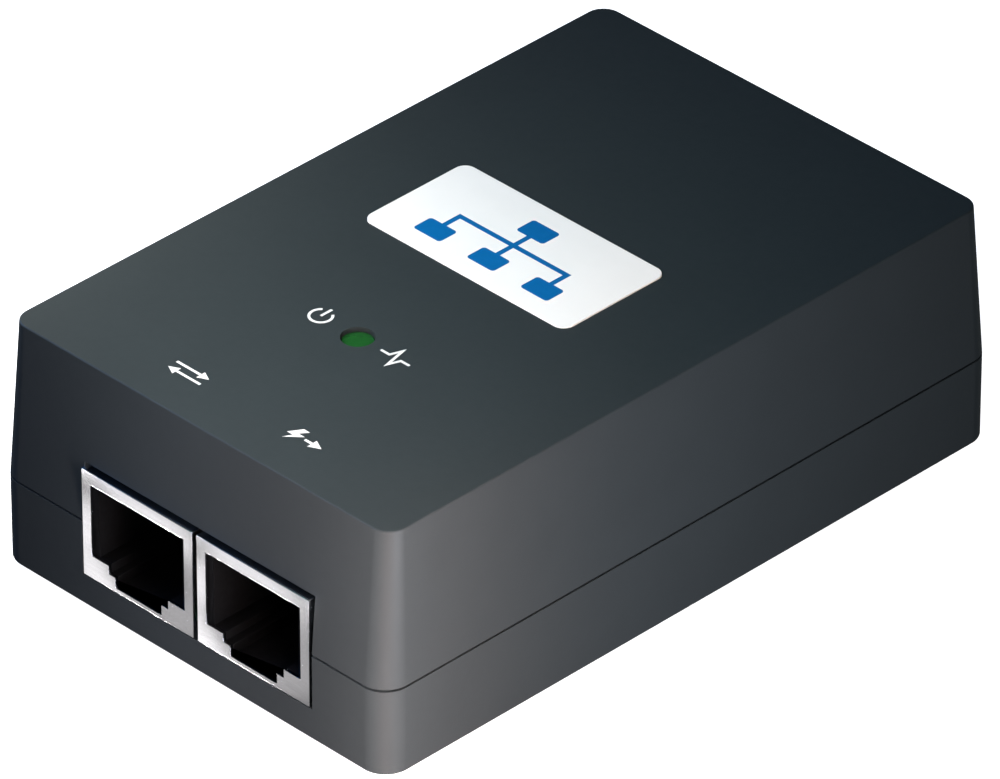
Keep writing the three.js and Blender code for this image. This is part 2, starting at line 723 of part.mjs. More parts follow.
function electrolytic(radius, height) {
  const groove = 0.3;
  const profile = [
    [0, 0],
    [radius, 0],
    [radius, 1.2],
    [radius - groove, 1.7],
    [radius, 2.2],
    [radius, height - 0.4],
    [radius - 0.4, height],
    [0, height],
  ];
  return turned(profile, 18);
}

function discCapacitor() {
  const disc = new THREE.CylinderGeometry(4, 4, 3.2, 20);
  disc.rotateZ(Math.PI / 2);
  disc.translate(0, 0, 6.5);
  return join(solid(disc), ...[-2.5, 2.5].map((y) => block(-0.35, y - 0.35, 0, 0.35, y + 0.35, 5)));
}

function heatsink() {
  const plate = block(-0.75, -9.5, 1, 0.75, 9.5, 18);
  return join(plate, ...[-7, 7].map((y) => block(-0.5, y - 0.9, 0, 0.5, y + 0.9, 2)));
}

// A three-lead power package, standing with its metal tab towards +X.
function powerTransistor() {
  const moulding = block(-2.2, -5.1, 4, 1.1, 5.1, 12.6);
  const tab = block(1, -5.1, 4, 2.2, 5.1, 17);
  const tabHole = new THREE.CylinderGeometry(1.8, 1.8, 9, 16);
  tabHole.rotateZ(Math.PI / 2);
  tabHole.translate(0, 0, 14.8);
  const legs = [-2.54, 0, 2.54].map((y) => block(-0.7, y - 0.4, 0, -0.1, y + 0.4, 5));
  return join(cut(join(moulding, tab), solid(tabHole)), ...legs);
}

const CORE_HALF_X = 10;
const CORE_HALF_Y = 3;
const CORE_HEIGHT = 17;
const LEG_HALF_X = 3.2;
const WINDOW_OUTER_X = 7.3;
const YOKE = 2.8;

function transformerCore() {
  const frame = block(-CORE_HALF_X, -CORE_HALF_Y, 0.3, CORE_HALF_X, CORE_HALF_Y, CORE_HEIGHT);
  const windows = [-1, 1].map((side) => block(
    Math.min(side * LEG_HALF_X, side * WINDOW_OUTER_X), -9, YOKE,
    Math.max(side * LEG_HALF_X, side * WINDOW_OUTER_X), 9, CORE_HEIGHT - YOKE,
  ));
  return cut(frame, ...windows);
}

function transformerBobbin() {
  const low = YOKE + 0.2;
  const high = CORE_HEIGHT - YOKE - 0.2;
  const sleeveX = LEG_HALF_X + 0.9;
  const sleeveY = CORE_HALF_Y + 0.9;
  const flangeX = WINDOW_OUTER_X - 0.2;
  const flangeY = 6.4;
  const sleeve = block(-sleeveX, -sleeveY, low, sleeveX, sleeveY, high);
  const lower = block(-flangeX, -flangeY, low, flangeX, flangeY, low + 0.9);
  const upper = block(-flangeX, -flangeY, high - 0.9, flangeX, flangeY, high);
  const bore = block(-LEG_HALF_X - 0.15, -CORE_HALF_Y - 0.15, 0, LEG_HALF_X + 0.15, CORE_HALF_Y + 0.15, 20);
  return cut(join(sleeve, lower, upper), bore);
}

function transformerWinding() {
  const low = YOKE + 0.2 + 0.9 + 0.1;
  const high = CORE_HEIGHT - YOKE - 0.2 - 0.9 - 0.1;
  const outline = roundedOutline(WINDOW_OUTER_X - 0.4, 6.1, 2);
  const tube = block(-LEG_HALF_X - 1, -CORE_HALF_Y - 1, 0, LEG_HALF_X + 1, CORE_HALF_Y + 1, 20);
  return cut(prismAlongZ(outline, low, high), tube);
}

function drumInductor() {
  return turned([[0, 0], [4.6, 0], [4.6, 1.4], [4, 1.6], [4, 8.4], [4.6, 8.6], [4.6, 10], [0, 10]]);
}

// A 3 mm lamp on long leads, so that its dome is just under the light pipe.
function statusLed() {
  const base = LED_FLANGE_HEIGHT - SEAT;
  const lamp = turned([
    [0, base],
    [1.9, base],
    [1.9, base + 0.9],
    [1.5, base + 0.9],
    [1.5, base + 3.6],
    [1.2, base + 4.5],
    [0.6, base + 5],
    [0, base + 5.1],
  ], 16);
  return join(lamp, ...[-1.27, 1.27].map((x) => block(x - 0.25, -0.25, 0, x + 0.25, 0.25, base + 0.5)));
}

const board = new THREE.Group();
body.add(board);
add(board, 'circuit_board', circuitBoard(), boardLaminate);
add(board, 'insulation_sheet', insulationSheet(), clearFilm);

const seated = new THREE.Group();
seated.position.z = SEAT;
board.add(seated);
const chokeAt = [16.8, 14];
add(seated, 'fuse', axialPart(2.3, 19, 2.6, 5), fuseGlass, -21.4, 21.5);
add(seated, 'choke_core', chokeCore(), ferrite, ...chokeAt);
add(seated, 'choke_winding_line', chokeWinding(0), copperWire, ...chokeAt);
add(seated, 'choke_winding_neutral', chokeWinding(Math.PI), copperWire, ...chokeAt);
add(seated, 'x_capacitor', filmCapacitor(), yellowBox, -3, 17.4);
add(seated, 'bridge_rectifier', rowPackage(14.6, 3.6, 3.5, 14, 4, 3.8), chipEpoxy, -18, 8);
add(seated, 'bulk_capacitor', electrolytic(7, 20), capacitorSleeve, -3, 5.4);
add(seated, 'primary_heatsink', heatsink(), heatsinkAluminium, 24, -4);
add(seated, 'switching_transistor', powerTransistor(), chipEpoxy, 20.9, -3.6);
add(seated, 'controller_chip', dualInlineChip(6.4, 9.3, 4, 2.54), chipEpoxy, -19, -3);
add(seated, 'transformer_core', transformerCore(), ferrite, 7, -10);
add(seated, 'transformer_bobbin', transformerBobbin(), bobbinPlastic, 7, -10);
add(seated, 'transformer_winding', transformerWinding(), yellowTape, 7, -10);
add(seated, 'y_capacitor', discCapacitor(), blueDisc, -7, -9.5);
add(seated, 'optocoupler', dualInlineChip(6.5, 4.6, 2, 2.54), chipEpoxy, -15, -12);
add(seated, 'output_diode', axialPart(2.65, 9.5, 2.66, 1), chipEpoxy, 20.3, -20.4);
add(seated, 'output_inductor', drumInductor(), copperWire, 8.5, -22);
add(seated, 'output_capacitor_1', electrolytic(5, 16), capacitorSleeve, -20, -21);
add(seated, 'output_capacitor_2', electrolytic(4, 12), capacitorSleeve, -9.8, -22);
add(seated, 'status_led', statusLed(), greenLens, LED_X, LED_Y);

export default injector;
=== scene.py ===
"""The looks of a power-over-Ethernet injector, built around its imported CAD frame.

Everything is in metres in the frame's own axes: -Y is the front with the two jacks, +X is right, +Z up.
"""

import math

import bmesh
import bpy
from mathutils import Matrix, Vector


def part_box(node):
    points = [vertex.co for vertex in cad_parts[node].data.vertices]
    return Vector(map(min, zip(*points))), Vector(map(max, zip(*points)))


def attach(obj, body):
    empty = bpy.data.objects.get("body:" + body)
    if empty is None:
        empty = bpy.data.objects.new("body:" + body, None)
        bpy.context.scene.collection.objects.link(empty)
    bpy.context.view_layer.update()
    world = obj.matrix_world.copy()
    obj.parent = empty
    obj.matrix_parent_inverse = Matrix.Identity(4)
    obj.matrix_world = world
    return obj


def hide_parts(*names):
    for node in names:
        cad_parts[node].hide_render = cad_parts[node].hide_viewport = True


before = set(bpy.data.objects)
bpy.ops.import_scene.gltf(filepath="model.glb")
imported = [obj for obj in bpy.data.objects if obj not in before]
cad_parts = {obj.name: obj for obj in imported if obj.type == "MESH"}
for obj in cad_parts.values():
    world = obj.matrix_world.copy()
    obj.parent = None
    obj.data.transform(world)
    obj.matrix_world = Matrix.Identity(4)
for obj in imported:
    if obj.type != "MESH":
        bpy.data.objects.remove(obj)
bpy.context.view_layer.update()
MM = 0.001


def mm(*values):
    """Lengths given in millimetres."""
    return tuple(value * MM for value in values)


def middle_of(name):
    """The middle of a CAD node in plan, its lowest corner and its highest corner."""
    low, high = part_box(name)
    return (low.x + high.x) / 2, (low.y + high.y) / 2, low, high


# ---- Places taken from the frame ----

COVER_LOW, COVER_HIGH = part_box("top_cover")
BASE_LOW, BASE_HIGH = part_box("base_shell")
LABEL_LOW, LABEL_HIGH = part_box("label_plate")
PIPE_LOW, PIPE_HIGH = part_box("light_pipe")
INLET_LOW, INLET_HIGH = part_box("inlet_housing")
JACKS = {prefix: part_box(f"{prefix}_shield") for prefix in ("lan", "poe")}

HALF_X = BASE_HIGH.x
HALF_Y = BASE_HIGH.y
TOP = COVER_HIGH.z
BOTTOM = BASE_LOW.z
PARTING_GAP = 0.26 * MM
COVER_BOTTOM = COVER_LOW.z
PARTING_LOW = COVER_BOTTOM - PARTING_GAP

# The case's driving sizes, as in the CAD.
WALL = 2.0 * MM
ROOF = 2.0 * MM
FLOOR = 1.4 * MM
DRAFT_X = 0.8 * MM
DRAFT_Y = 1.5 * MM
EDGE_ROUND = 0.2 * MM
CORNER_RADIUS = 3.0 * MM
LIP_INSET = 1.15 * MM
RABBET_HEIGHT = 1.9 * MM
RABBET_INSET = 0.9 * MM
BOSS_RADIUS = 3.3 * MM
PILOT_RADIUS = 1.6 * MM
BORE_RADIUS = 1.7 * MM
COUNTERBORE_RADIUS = 2.85 * MM
COUNTERBORE_DEPTH = 4.6 * MM
PILOT_DEPTH = 7.5 * MM
LABEL_RADIUS = 1.35 * MM
LABEL_GAP = 0.06 * MM
LABEL_RECESS = 0.3 * MM
LED_HOLE = 1.8 * MM
JACK_GAP_LEFT = 0.1 * MM
JACK_GAP_RIGHT = 0.35 * MM
JACK_GAP_BELOW = 0.12 * MM
JACK_GAP_ABOVE = 0.45 * MM
INLET_GAP = 0.25 * MM
POST_RADIUS = 1.6 * MM
FOOT_RECESS_RADIUS = 5.2 * MM
LED_COLLAR = 1.3 * MM
CASE_BEVEL = 0.07 * MM
POST_PLACES = [(-23, -12), (23, -12), (-23, 10), (23, 10), (0, -16), (0, 20)]

# ---- Mesh tools ----

SLIVER = 0.0005 * MM
FLAT_ANGLE = math.radians(0.5)
BEVEL_ANGLE = math.radians(35)


def add_object(name, mesh):
    """Links a new object that shows a mesh."""
    piece = bpy.data.objects.new(name, mesh)
    bpy.context.scene.collection.objects.link(piece)
    return piece


def from_bmesh(name, bm):
    """Turns a finished bmesh into an object with its faces pointing out."""
    bmesh.ops.remove_doubles(bm, verts=bm.verts, dist=1e-8)
    bmesh.ops.recalc_face_normals(bm, faces=bm.faces)
    mesh = bpy.data.meshes.new(name)
    bm.to_mesh(mesh)
    bm.free()
    return add_object(name, mesh)


def loft(name, rings, closed=False):
    """A solid through rings of points of equal length, capped at both ends or closed on itself."""
    bm = bmesh.new()
    rows = [[bm.verts.new(point) for point in ring] for ring in rings]
    count = len(rows[0])
    pairs = list(zip(rows, rows[1:]))
    if closed:
        pairs.append((rows[-1], rows[0]))
    for low, high in pairs:
        for i in range(count):
            j = (i + 1) % count
            bm.faces.new((low[i], low[j], high[j], high[i]))
    if not closed:
        bm.faces.new(list(reversed(rows[0])))
        bm.faces.new(rows[-1])
    return from_bmesh(name, bm)


def quarter_turn(steps):
    """The angles of a quarter circle, both ends included."""
    return [step / steps * math.pi / 2 for step in range(steps + 1)]


def rounded_outline(half_x, half_y, radius, steps=12):
    """A rectangle with rounded corners, anticlockwise from the front right corner."""
    points = []
    for corner, (side_x, side_y) in enumerate(((1, -1), (1, 1), (-1, 1), (-1, -1))):
        start = (corner - 1) * math.pi / 2
        for turn in quarter_turn(steps):
            angle = start + turn
            x = side_x * (half_x - radius) + radius * math.cos(angle)
            y = side_y * (half_y - radius) + radius * math.sin(angle)
            points.append((x, y))
    return points


def at_height(outline, z, x=0.0, y=0.0):
    """An outline in plan as a ring of points at a height."""
    return [(px + x, py + y, z) for px, py in outline]


def prism(name, outline, low, high, x=0.0, y=0.0):
    """An outline in plan pushed up from one height to another."""
    return loft(name, [at_height(outline, low, x, y), at_height(outline, high, x, y)])


def along_y(name, outline, x, z, low_y, high_y):
    """An outline in X and Z pushed along Y."""
    return loft(name, [[(x + px, y, z + pz) for px, pz in outline] for y in (low_y, high_y)])


def box_solid(name, low, high):
    """A plain box from corner to corner, used as a cutter or as stock for a bevelled piece."""
    plan = [(low[0], low[1]), (high[0], low[1]), (high[0], high[1]), (low[0], high[1])]
    return prism(name, plan, low[2], high[2])


def circle(radius, steps=48):
    """A round outline about the origin."""
    turns = [math.tau * i / steps for i in range(steps)]
    return [(radius * math.cos(turn), radius * math.sin(turn)) for turn in turns]


def lathe(name, profile, x=0.0, y=0.0, z=0.0, steps=48):
    """A solid turned about an upright axis from (radius, height) pairs, lowest first, closed at both ends."""
    rings = [at_height(circle(max(radius, 1e-6), steps), z + height, x, y) for radius, height in profile]
    return loft(name, rings)


def lathe_along_y(name, profile, x, y, z, steps=48):
    """The same, turned about an axis along Y."""
    piece = lathe(name, profile, steps=steps)
    piece.data.transform(Matrix.Rotation(-math.pi / 2, 4, "X"))
    piece.data.transform(Matrix.Translation((x, y, z)))
    return piece


def cylinder(name, radius, x, y, low, high, steps=48):
    """An upright round bar."""
    return lathe(name, [(radius, 0), (radius, high - low)], x, y, low, steps)


def merged(name, parts):
    """Several separate solids as one object, which uses them up."""
    bm = bmesh.new()
    for part in parts:
        bm.from_mesh(part.data)
        bpy.data.objects.remove(part)
    return from_bmesh(name, bm)


def tube(name, path, radius, sides=12, closed=False):
    """A round wire along a path of points, with its section carried along without twisting."""
    points = [Vector(point) for point in path]
    count = len(points)
    rings = []
    across = None
    for i, point in enumerate(points):
        before = points[i - 1] if closed or i else point
        after = points[(i + 1) % count] if closed or i < count - 1 else point
        along = (after - before).normalized()
        across = along.orthogonal() if across is None else across - along * across.dot(along)
        across.normalize()
        beside = along.cross(across)
        rings.append([point + across * px + beside * py for px, py in circle(radius, sides)])
    return loft(name, rings, closed)


def settle(piece):
    """Applies a piece's modifiers to its mesh."""
    graph = bpy.context.evaluated_depsgraph_get()
    mesh = bpy.data.meshes.new_from_object(piece.evaluated_get(graph))
    piece.modifiers.clear()
    piece.data = mesh


def combine(piece, tools, operation):
    """Cuts or joins a piece with tools, which are used up."""
    for tool in tools:
        modifier = piece.modifiers.new("combine", "BOOLEAN")
        modifier.operation = operation
        modifier.solver = "EXACT"
        modifier.object = tool
    settle(piece)
    for tool in tools:
        bpy.data.objects.remove(tool)
    return piece


def cut(piece, *tools):
    return combine(piece, tools, "DIFFERENCE")


def join(piece, *tools):
    return combine(piece, tools, "UNION")


def drop_slivers(piece):
    """Takes out the faces without area that a clamped bevel leaves."""
    bm = bmesh.new()
    bm.from_mesh(piece.data)
    bmesh.ops.remove_doubles(bm, verts=bm.verts, dist=SLIVER)
    bmesh.ops.dissolve_degenerate(bm, edges=bm.edges, dist=SLIVER)
    bm.to_mesh(piece.data)
    bm.free()


def soften(piece, width, segments=2, smooth=32):
    """Rounds the sharp edges by a width and shades the rest smooth."""
    bm = bmesh.new()
    bm.from_mesh(piece.data)
    bmesh.ops.remove_doubles(bm, verts=bm.verts, dist=4 * SLIVER)
    bmesh.ops.dissolve_limit(bm, angle_limit=FLAT_ANGLE, verts=bm.verts, edges=bm.edges)
    bm.to_mesh(piece.data)
    bm.free()
    modifier = piece.modifiers.new("soften", "BEVEL")
    modifier.width = width
    modifier.segments = segments
    modifier.limit_method = "ANGLE"
    modifier.angle_limit = BEVEL_ANGLE
    modifier.use_clamp_overlap = True
    modifier.miter_outer = "MITER_ARC"
    settle(piece)
    drop_slivers(piece)
    return smooth_sides(piece, smooth)


def smooth_sides(piece, angle=32):
    """Smooth shading with sharp edges past an angle, and flat faces kept flat next to rounded ones."""
    piece.data.shade_smooth()
    piece.data.set_sharp_from_angle(angle=math.radians(angle))
    modifier = piece.modifiers.new("weigh", "WEIGHTED_NORMAL")
    modifier.keep_sharp = True
    modifier.weight = 100
    settle(piece)
    return piece


def finish_piece(piece, look, slot, body, *replaced):
    """Gives a piece its material and body, and hides the CAD nodes that it stands for. Its slot argument is
    not used.
    """
    piece.data.materials.clear()
    piece.data.materials.append(look)
    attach(piece, body)
    if replaced:
        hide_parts(*replaced)
    return piece


# ---- Materials ----


class Look:
    """A small helper that builds one procedural material on a Principled shader."""

    def __init__(self, name, color, roughness, metallic=0.0, specular=0.5):
        self.material = bpy.data.materials.new(name)
        self.material.use_nodes = True
        self.tree = self.material.node_tree
        self.shader = self.tree.nodes["Principled BSDF"]
        self.shader.inputs["Base Color"].default_value = (*color, 1)
        self.shader.inputs["Roughness"].default_value = roughness
        self.shader.inputs["Metallic"].default_value = metallic
        self.shader.inputs["Specular IOR Level"].default_value = specular
        self.color = color
        self.roughness = roughness
        self.place = self.node("ShaderNodeTexCoord").outputs["Object"]

    def node(self, kind, **settings):
        made = self.tree.nodes.new(kind)
        for key, value in settings.items():
            setattr(made, key, value)
        return made

    def link(self, source, target):
        self.tree.links.new(source, target)

    def noise(self, scale, detail=3.0, stretch=None):
        """Noise with features of about 1/scale metres, stretched along the axes if asked."""
        place = self.place
        if stretch:
            mapping = self.node("ShaderNodeMapping")
            mapping.inputs["Scale"].default_value = stretch
            self.link(place, mapping.inputs["Vector"])
            place = mapping.outputs["Vector"]
        texture = self.node("ShaderNodeTexNoise")
        texture.inputs["Scale"].default_value = scale
        texture.inputs["Detail"].default_value = detail
        self.link(place, texture.inputs["Vector"])
        return texture.outputs["Fac"]

    def ranged(self, source, low, high, from_low=0.3, from_high=0.7):
        """A value spread from one range, by default noise's usual one, to another."""
        mapper = self.node("ShaderNodeMapRange")
        mapper.inputs["From Min"].default_value = from_low
        mapper.inputs["From Max"].default_value = from_high
        mapper.inputs["To Min"].default_value = low
        mapper.inputs["To Max"].default_value = high
        self.link(source, mapper.inputs["Value"])
        return mapper.outputs["Result"]

    def mixed(self, source, first, second):
        """A colour between two colours by a factor."""
        mixer = self.node("ShaderNodeMix", data_type="RGBA")
        mixer.inputs["A"].default_value = (*first, 1)
        mixer.inputs["B"].default_value = (*second, 1)
        self.link(source, mixer.inputs["Factor"])
        return mixer.outputs["Result"]

    def vary_color(self, source, spread):
        """Colour from a bit darker to a bit lighter than the base."""
        darker = [c * (1 - spread) for c in self.color]
        lighter = [c * (1 + spread) for c in self.color]
        factor = self.ranged(source, 0, 1)
        self.link(self.mixed(factor, darker, lighter), self.shader.inputs["Base Color"])

    def vary_roughness(self, source, spread):
        rough = self.ranged(source, self.roughness - spread, self.roughness + spread)
        self.link(rough, self.shader.inputs["Roughness"])

    def bump(self, source, depth, strength=1.0):
        """Surface relief of a real depth in metres."""
        bumper = self.node("ShaderNodeBump")
        bumper.inputs["Distance"].default_value = depth
        bumper.inputs["Strength"].default_value = strength
        self.link(source, bumper.inputs["Height"])
        self.link(bumper.outputs["Normal"], self.shader.inputs["Normal"])
        return bumper


def surface(
    name, color, roughness, metallic=0.0, specular=0.5,
    mottle=None, gloss=None, relief=None, stretch=None, sockets=None,
):
    """A finish from noise: mottle, gloss as (scale, detail, spread), relief (scale, detail, mm, strength)."""
    look = Look(name, color, roughness, metallic, specular)
    for socket, value in (sockets or {}).items():
        look.shader.inputs[socket].default_value = value
    if mottle:
        look.vary_color(look.noise(mottle[0], mottle[1]), mottle[2])
    if gloss:
        look.vary_roughness(look.noise(gloss[0], gloss[1], stretch), gloss[2])
    if relief:
        look.bump(look.noise(relief[0], relief[1], stretch), relief[2] * MM, relief[3])
    return look.material


def plain_look(name, color, roughness, metallic=0.0, grain=1500, relief=0.006, spread=0.06):
    """A moulded, cast or sheet surface: slight mottling, uneven gloss and a fine grain."""
    return surface(
        name, color, roughness, metallic, 0.4,
        mottle=(grain * 0.2, 4, spread), gloss=(grain * 0.6, 3, 0.06), relief=(grain, 3, relief, 0.5),
    )


def print_ink(name, color):
    return surface(name, color, 0.5, specular=0.3, mottle=(1800, 3, 0.03))


def shield_steel():
    """Bright nickel plate on thin sheet, whose faces are slightly crowned about each shield's own middle."""
    look = Look("shield_steel", (0.93, 0.91, 0.935), 0.17, metallic=1.0)
    brushed = look.noise(900, detail=4, stretch=(0.12, 1, 3.5))
    look.vary_roughness(brushed, 0.02)
    look.vary_color(look.noise(240, detail=2), 0.02)
    half_width, half_height = mm(8, 6.4)
    across = look.node("ShaderNodeMapping")
    across.inputs["Scale"].default_value = (1 / half_width, 0, 1 / half_height)
    look.link(look.place, across.inputs["Vector"])
    square = look.node("ShaderNodeVectorMath", operation="DOT_PRODUCT")
    look.link(across.outputs["Vector"], square.inputs[0])
    look.link(across.outputs["Vector"], square.inputs[1])
    crown = look.node("ShaderNodeBump", invert=True)
    crown.inputs["Distance"].default_value = SHIELD_CROWN
    look.link(square.outputs["Value"], crown.inputs["Height"])
    bumper = look.bump(brushed, 0.001 * MM, 0.4)
    look.link(crown.outputs["Normal"], bumper.inputs["Normal"])
    return look.material


def board_laminate():
    """Green solder mask over copper areas, whose borders show as faint steps between blocks of tone."""
    bare, covered = (0.009, 0.066, 0.023), (0.014, 0.096, 0.035)
    look = Look("board_laminate", (0.012, 0.085, 0.03), 0.34)
    areas = look.node("ShaderNodeTexVoronoi", distance="CHEBYCHEV")
    areas.inputs["Scale"].default_value = 190
    areas.inputs["Randomness"].default_value = 0.75
    look.link(look.place, areas.inputs["Vector"])
    copper = look.ranged(areas.outputs["Color"], 0, 1, 0.45, 0.55)
    look.link(look.mixed(copper, bare, covered), look.shader.inputs["Base Color"])
    look.vary_roughness(look.noise(800), 0.05)
    look.bump(copper, 0.03 * MM, 0.6)
    return look.material


SHIELD_CROWN = 0.28 * MM

CASE_LOOK = surface(
    "case_plastic", (0.0286, 0.0354, 0.038), 0.46, specular=0.3,
    mottle=(160, 4, 0.025), gloss=(900, 3, 0.03), relief=(5200, 2, 0.012, 0.6),
)
LABEL_LOOK = surface(
    "white_film", (0.84, 0.84, 0.84), 0.45, specular=0.4,
    mottle=(300, 3, 0.008), relief=(2500, 3, 0.004, 0.5),
)
GLYPH_LOOK = print_ink("glyph_blue", (0.002, 0.13, 0.37))
SIGN_LOOK = print_ink("sign_white", (0.72, 0.72, 0.72))
LENS_LOOK = surface(
    "green_lens", (0.009, 0.076, 0.014), 0.22, specular=0.4,
    mottle=(700, 3, 0.12), sockets={"Coat Weight": 0.2},
)
BLACK_LOOK = surface(
    "black_plastic", (0.003, 0.003, 0.0033), 0.55, specular=0.12,
    gloss=(1200, 3, 0.06), relief=(4200, 2, 0.008, 0.6),
)
SHIELD_LOOK = shield_steel()
GOLD_LOOK = surface("contact_gold", (0.83, 0.58, 0.24), 0.24, metallic=1.0, gloss=(3000, 3, 0.05))
# Drawn metal, its streaks running along the pins.
PIN_LOOK = surface(
    "pin_metal", (0.72, 0.70, 0.66), 0.26, metallic=1.0,
    gloss=(1500, 3, 0.08), relief=(1500, 3, 0.002, 0.5), stretch=(2, 0.12, 2),
)
RUBBER_LOOK = surface(
    "foot_rubber", (0.018, 0.018, 0.019), 0.82, specular=0.25,
    mottle=(600, 3, 0.12), relief=(2600, 3, 0.02, 0.6),
)
SCREW_LOOK = surface(
    "screw_steel", (0.34, 0.345, 0.35), 0.38, metallic=1.0,
    gloss=(1800, 3, 0.1), relief=(2400, 3, 0.006, 0.5),
)
BOARD_LOOK = board_laminate()
FILM_LOOK = surface(
    "clear_film", (0.72, 0.74, 0.68), 0.32, specular=0.45,
    mottle=(200, 3, 0.03), relief=(500, 3, 0.02, 0.4), sockets={"Transmission Weight": 0.35},
)
GLASS_LOOK = surface(
    "fuse_glass", (0.9, 0.95, 0.93), 0.06,
    gloss=(400, 3, 0.02), sockets={"Transmission Weight": 0.85, "IOR": 1.5},
)
# Enamelled wire, a little darker where the enamel is thicker.
COPPER_LOOK = surface(
    "copper_wire", (0.62, 0.24, 0.09), 0.28, metallic=1.0,
    mottle=(700, 3, 0.12), gloss=(2200, 3, 0.05), sockets={"Coat Weight": 0.4},
)
# Glossy tape with the wires' ridges showing through.
TAPE_LOOK = surface(
    "yellow_tape", (0.66, 0.42, 0.045), 0.36, specular=0.4,
    mottle=(260, 3, 0.06), relief=(1400, 3, 0.03, 0.5), stretch=(0.1, 0.1, 2.5),
)
FERRITE_LOOK = plain_look("ferrite", (0.042, 0.040, 0.038), 0.66, grain=2600, relief=0.02, spread=0.12)
YELLOW_BOX_LOOK = plain_look("yellow_box", (0.62, 0.41, 0.07), 0.42)
DISC_LOOK = plain_look("blue_disc", (0.02, 0.11, 0.34), 0.34, grain=900, relief=0.02)
SLEEVE_LOOK = plain_look("capacitor_sleeve", (0.012, 0.018, 0.032), 0.3, relief=0.003)
EPOXY_LOOK = plain_look("chip_epoxy", (0.011, 0.011, 0.012), 0.55, grain=4200, relief=0.01)
ALUMINIUM_LOOK = plain_look("heatsink_aluminium", (0.68, 0.69, 0.70), 0.36, metallic=1.0, relief=0.004)
INLET_LOOK = plain_look("inlet_plastic", (0.010, 0.010, 0.011), 0.42, grain=3600, spread=0.03)
BOBBIN_LOOK = plain_look("bobbin_plastic", (0.024, 0.019, 0.016), 0.5)

# ---- Case shells ----


def case_outline(inset_x, inset_y=None):
    """The case's plan, moved in from the side walls and the end walls."""
    inset_y = inset_x if inset_y is None else inset_y
    inset = min(inset_x, inset_y)
    radius = max(CORNER_RADIUS - inset, 0.4 * MM)
    return rounded_outline(HALF_X - inset_x, HALF_Y - inset_y, radius, 16)


def cover_ring(z, inset):
    """The cover's plan at a height, with its draft."""
    rise = max(z - PARTING_LOW, 0) / (TOP - PARTING_LOW)
    return at_height(case_outline(inset + DRAFT_X * rise, inset + DRAFT_Y * rise), z)


def edge_steps(count=5):
    """Insets and drops of a quarter-round edge, from the wall to the flat."""
    for angle in quarter_turn(count):
        yield EDGE_ROUND * (1 - math.cos(angle)), EDGE_ROUND * (1 - math.sin(angle))


def bars(places, radius, low, high, steps=48):
    """Upright round bars at several places, as tools."""
    return [cylinder("tool", radius, x, y, low, high, steps) for x, y in places]


SCREW_PLACES = [middle_of(f"case_screw_{i}")[:2] for i in range(1, 5)]
FOOT_PLACES = [middle_of(f"foot_{i}")[:2] for i in range(1, 5)]
WINDOW_DEPTH = WALL + 2.5 * MM


def jack_window():
    """The opening that both jacks share."""
    first, last = JACKS["lan"][0], JACKS["poe"][1]
    low = (first.x - JACK_GAP_LEFT, -HALF_Y - MM, first.z - JACK_GAP_BELOW)
    high = (last.x + JACK_GAP_RIGHT, -HALF_Y + WINDOW_DEPTH, last.z + JACK_GAP_ABOVE)
    return box_solid("tool", low, high)


def inlet_window():
    """The opening for the mains inlet."""
    low = (INLET_LOW.x - INLET_GAP, HALF_Y - WINDOW_DEPTH, INLET_LOW.z - INLET_GAP)
    high = (INLET_HIGH.x + INLET_GAP, HALF_Y + MM, INLET_HIGH.z + INLET_GAP)
    return box_solid("tool", low, high)


LABEL_X, LABEL_Y = middle_of("label_plate")[:2]
LABEL_HALF_X = (LABEL_HIGH.x - LABEL_LOW.x) / 2
LABEL_HALF_Y = (LABEL_HIGH.y - LABEL_LOW.y) / 2
LED_X, LED_Y = middle_of("light_pipe")[:2]


def label_outline(grow):
    """The label's plan about its own middle, larger all round by an amount."""
    return rounded_outline(LABEL_HALF_X + grow, LABEL_HALF_Y + grow, LABEL_RADIUS + grow, 10)


def make_cover():
    """The drafted upper shell with its bosses, rabbet, windows, lamp hole and label recess."""
    rings = [cover_ring(COVER_BOTTOM, 0)]
    rings += [cover_ring(TOP - drop, inset) for inset, drop in edge_steps()]
    ceiling, boss_top = TOP - ROOF, TOP - ROOF / 2
    boss_bottom = PARTING_LOW + 0.53 * MM
    hollow = loft("tool", [cover_ring(z, WALL) for z in (PARTING_LOW - MM, PARTING_LOW, ceiling)])
    rabbet = prism("tool", case_outline(RABBET_INSET), PARTING_LOW - MM, PARTING_LOW + RABBET_HEIGHT)
    cover = cut(loft("top_cover_fine", rings), hollow, rabbet)
    bosses = bars(SCREW_PLACES, BOSS_RADIUS, boss_bottom, boss_top)
    bosses.append(cylinder("tool", LED_HOLE + LED_COLLAR, LED_X, LED_Y, ceiling - 3 * MM, boss_top))
    join(cover, *bosses)
    pilots = bars(SCREW_PLACES, PILOT_RADIUS, boss_bottom - MM, boss_bottom + PILOT_DEPTH)
    lamp_hole = cylinder("tool", LED_HOLE, LED_X, LED_Y, ceiling - 4 * MM, TOP + MM, 64)
    pocket = prism("tool", label_outline(LABEL_GAP), TOP - LABEL_RECESS, TOP + MM, LABEL_X, LABEL_Y)
    cut(cover, *pilots, lamp_hole, pocket, jack_window(), inlet_window())
    return soften(cover, CASE_BEVEL)


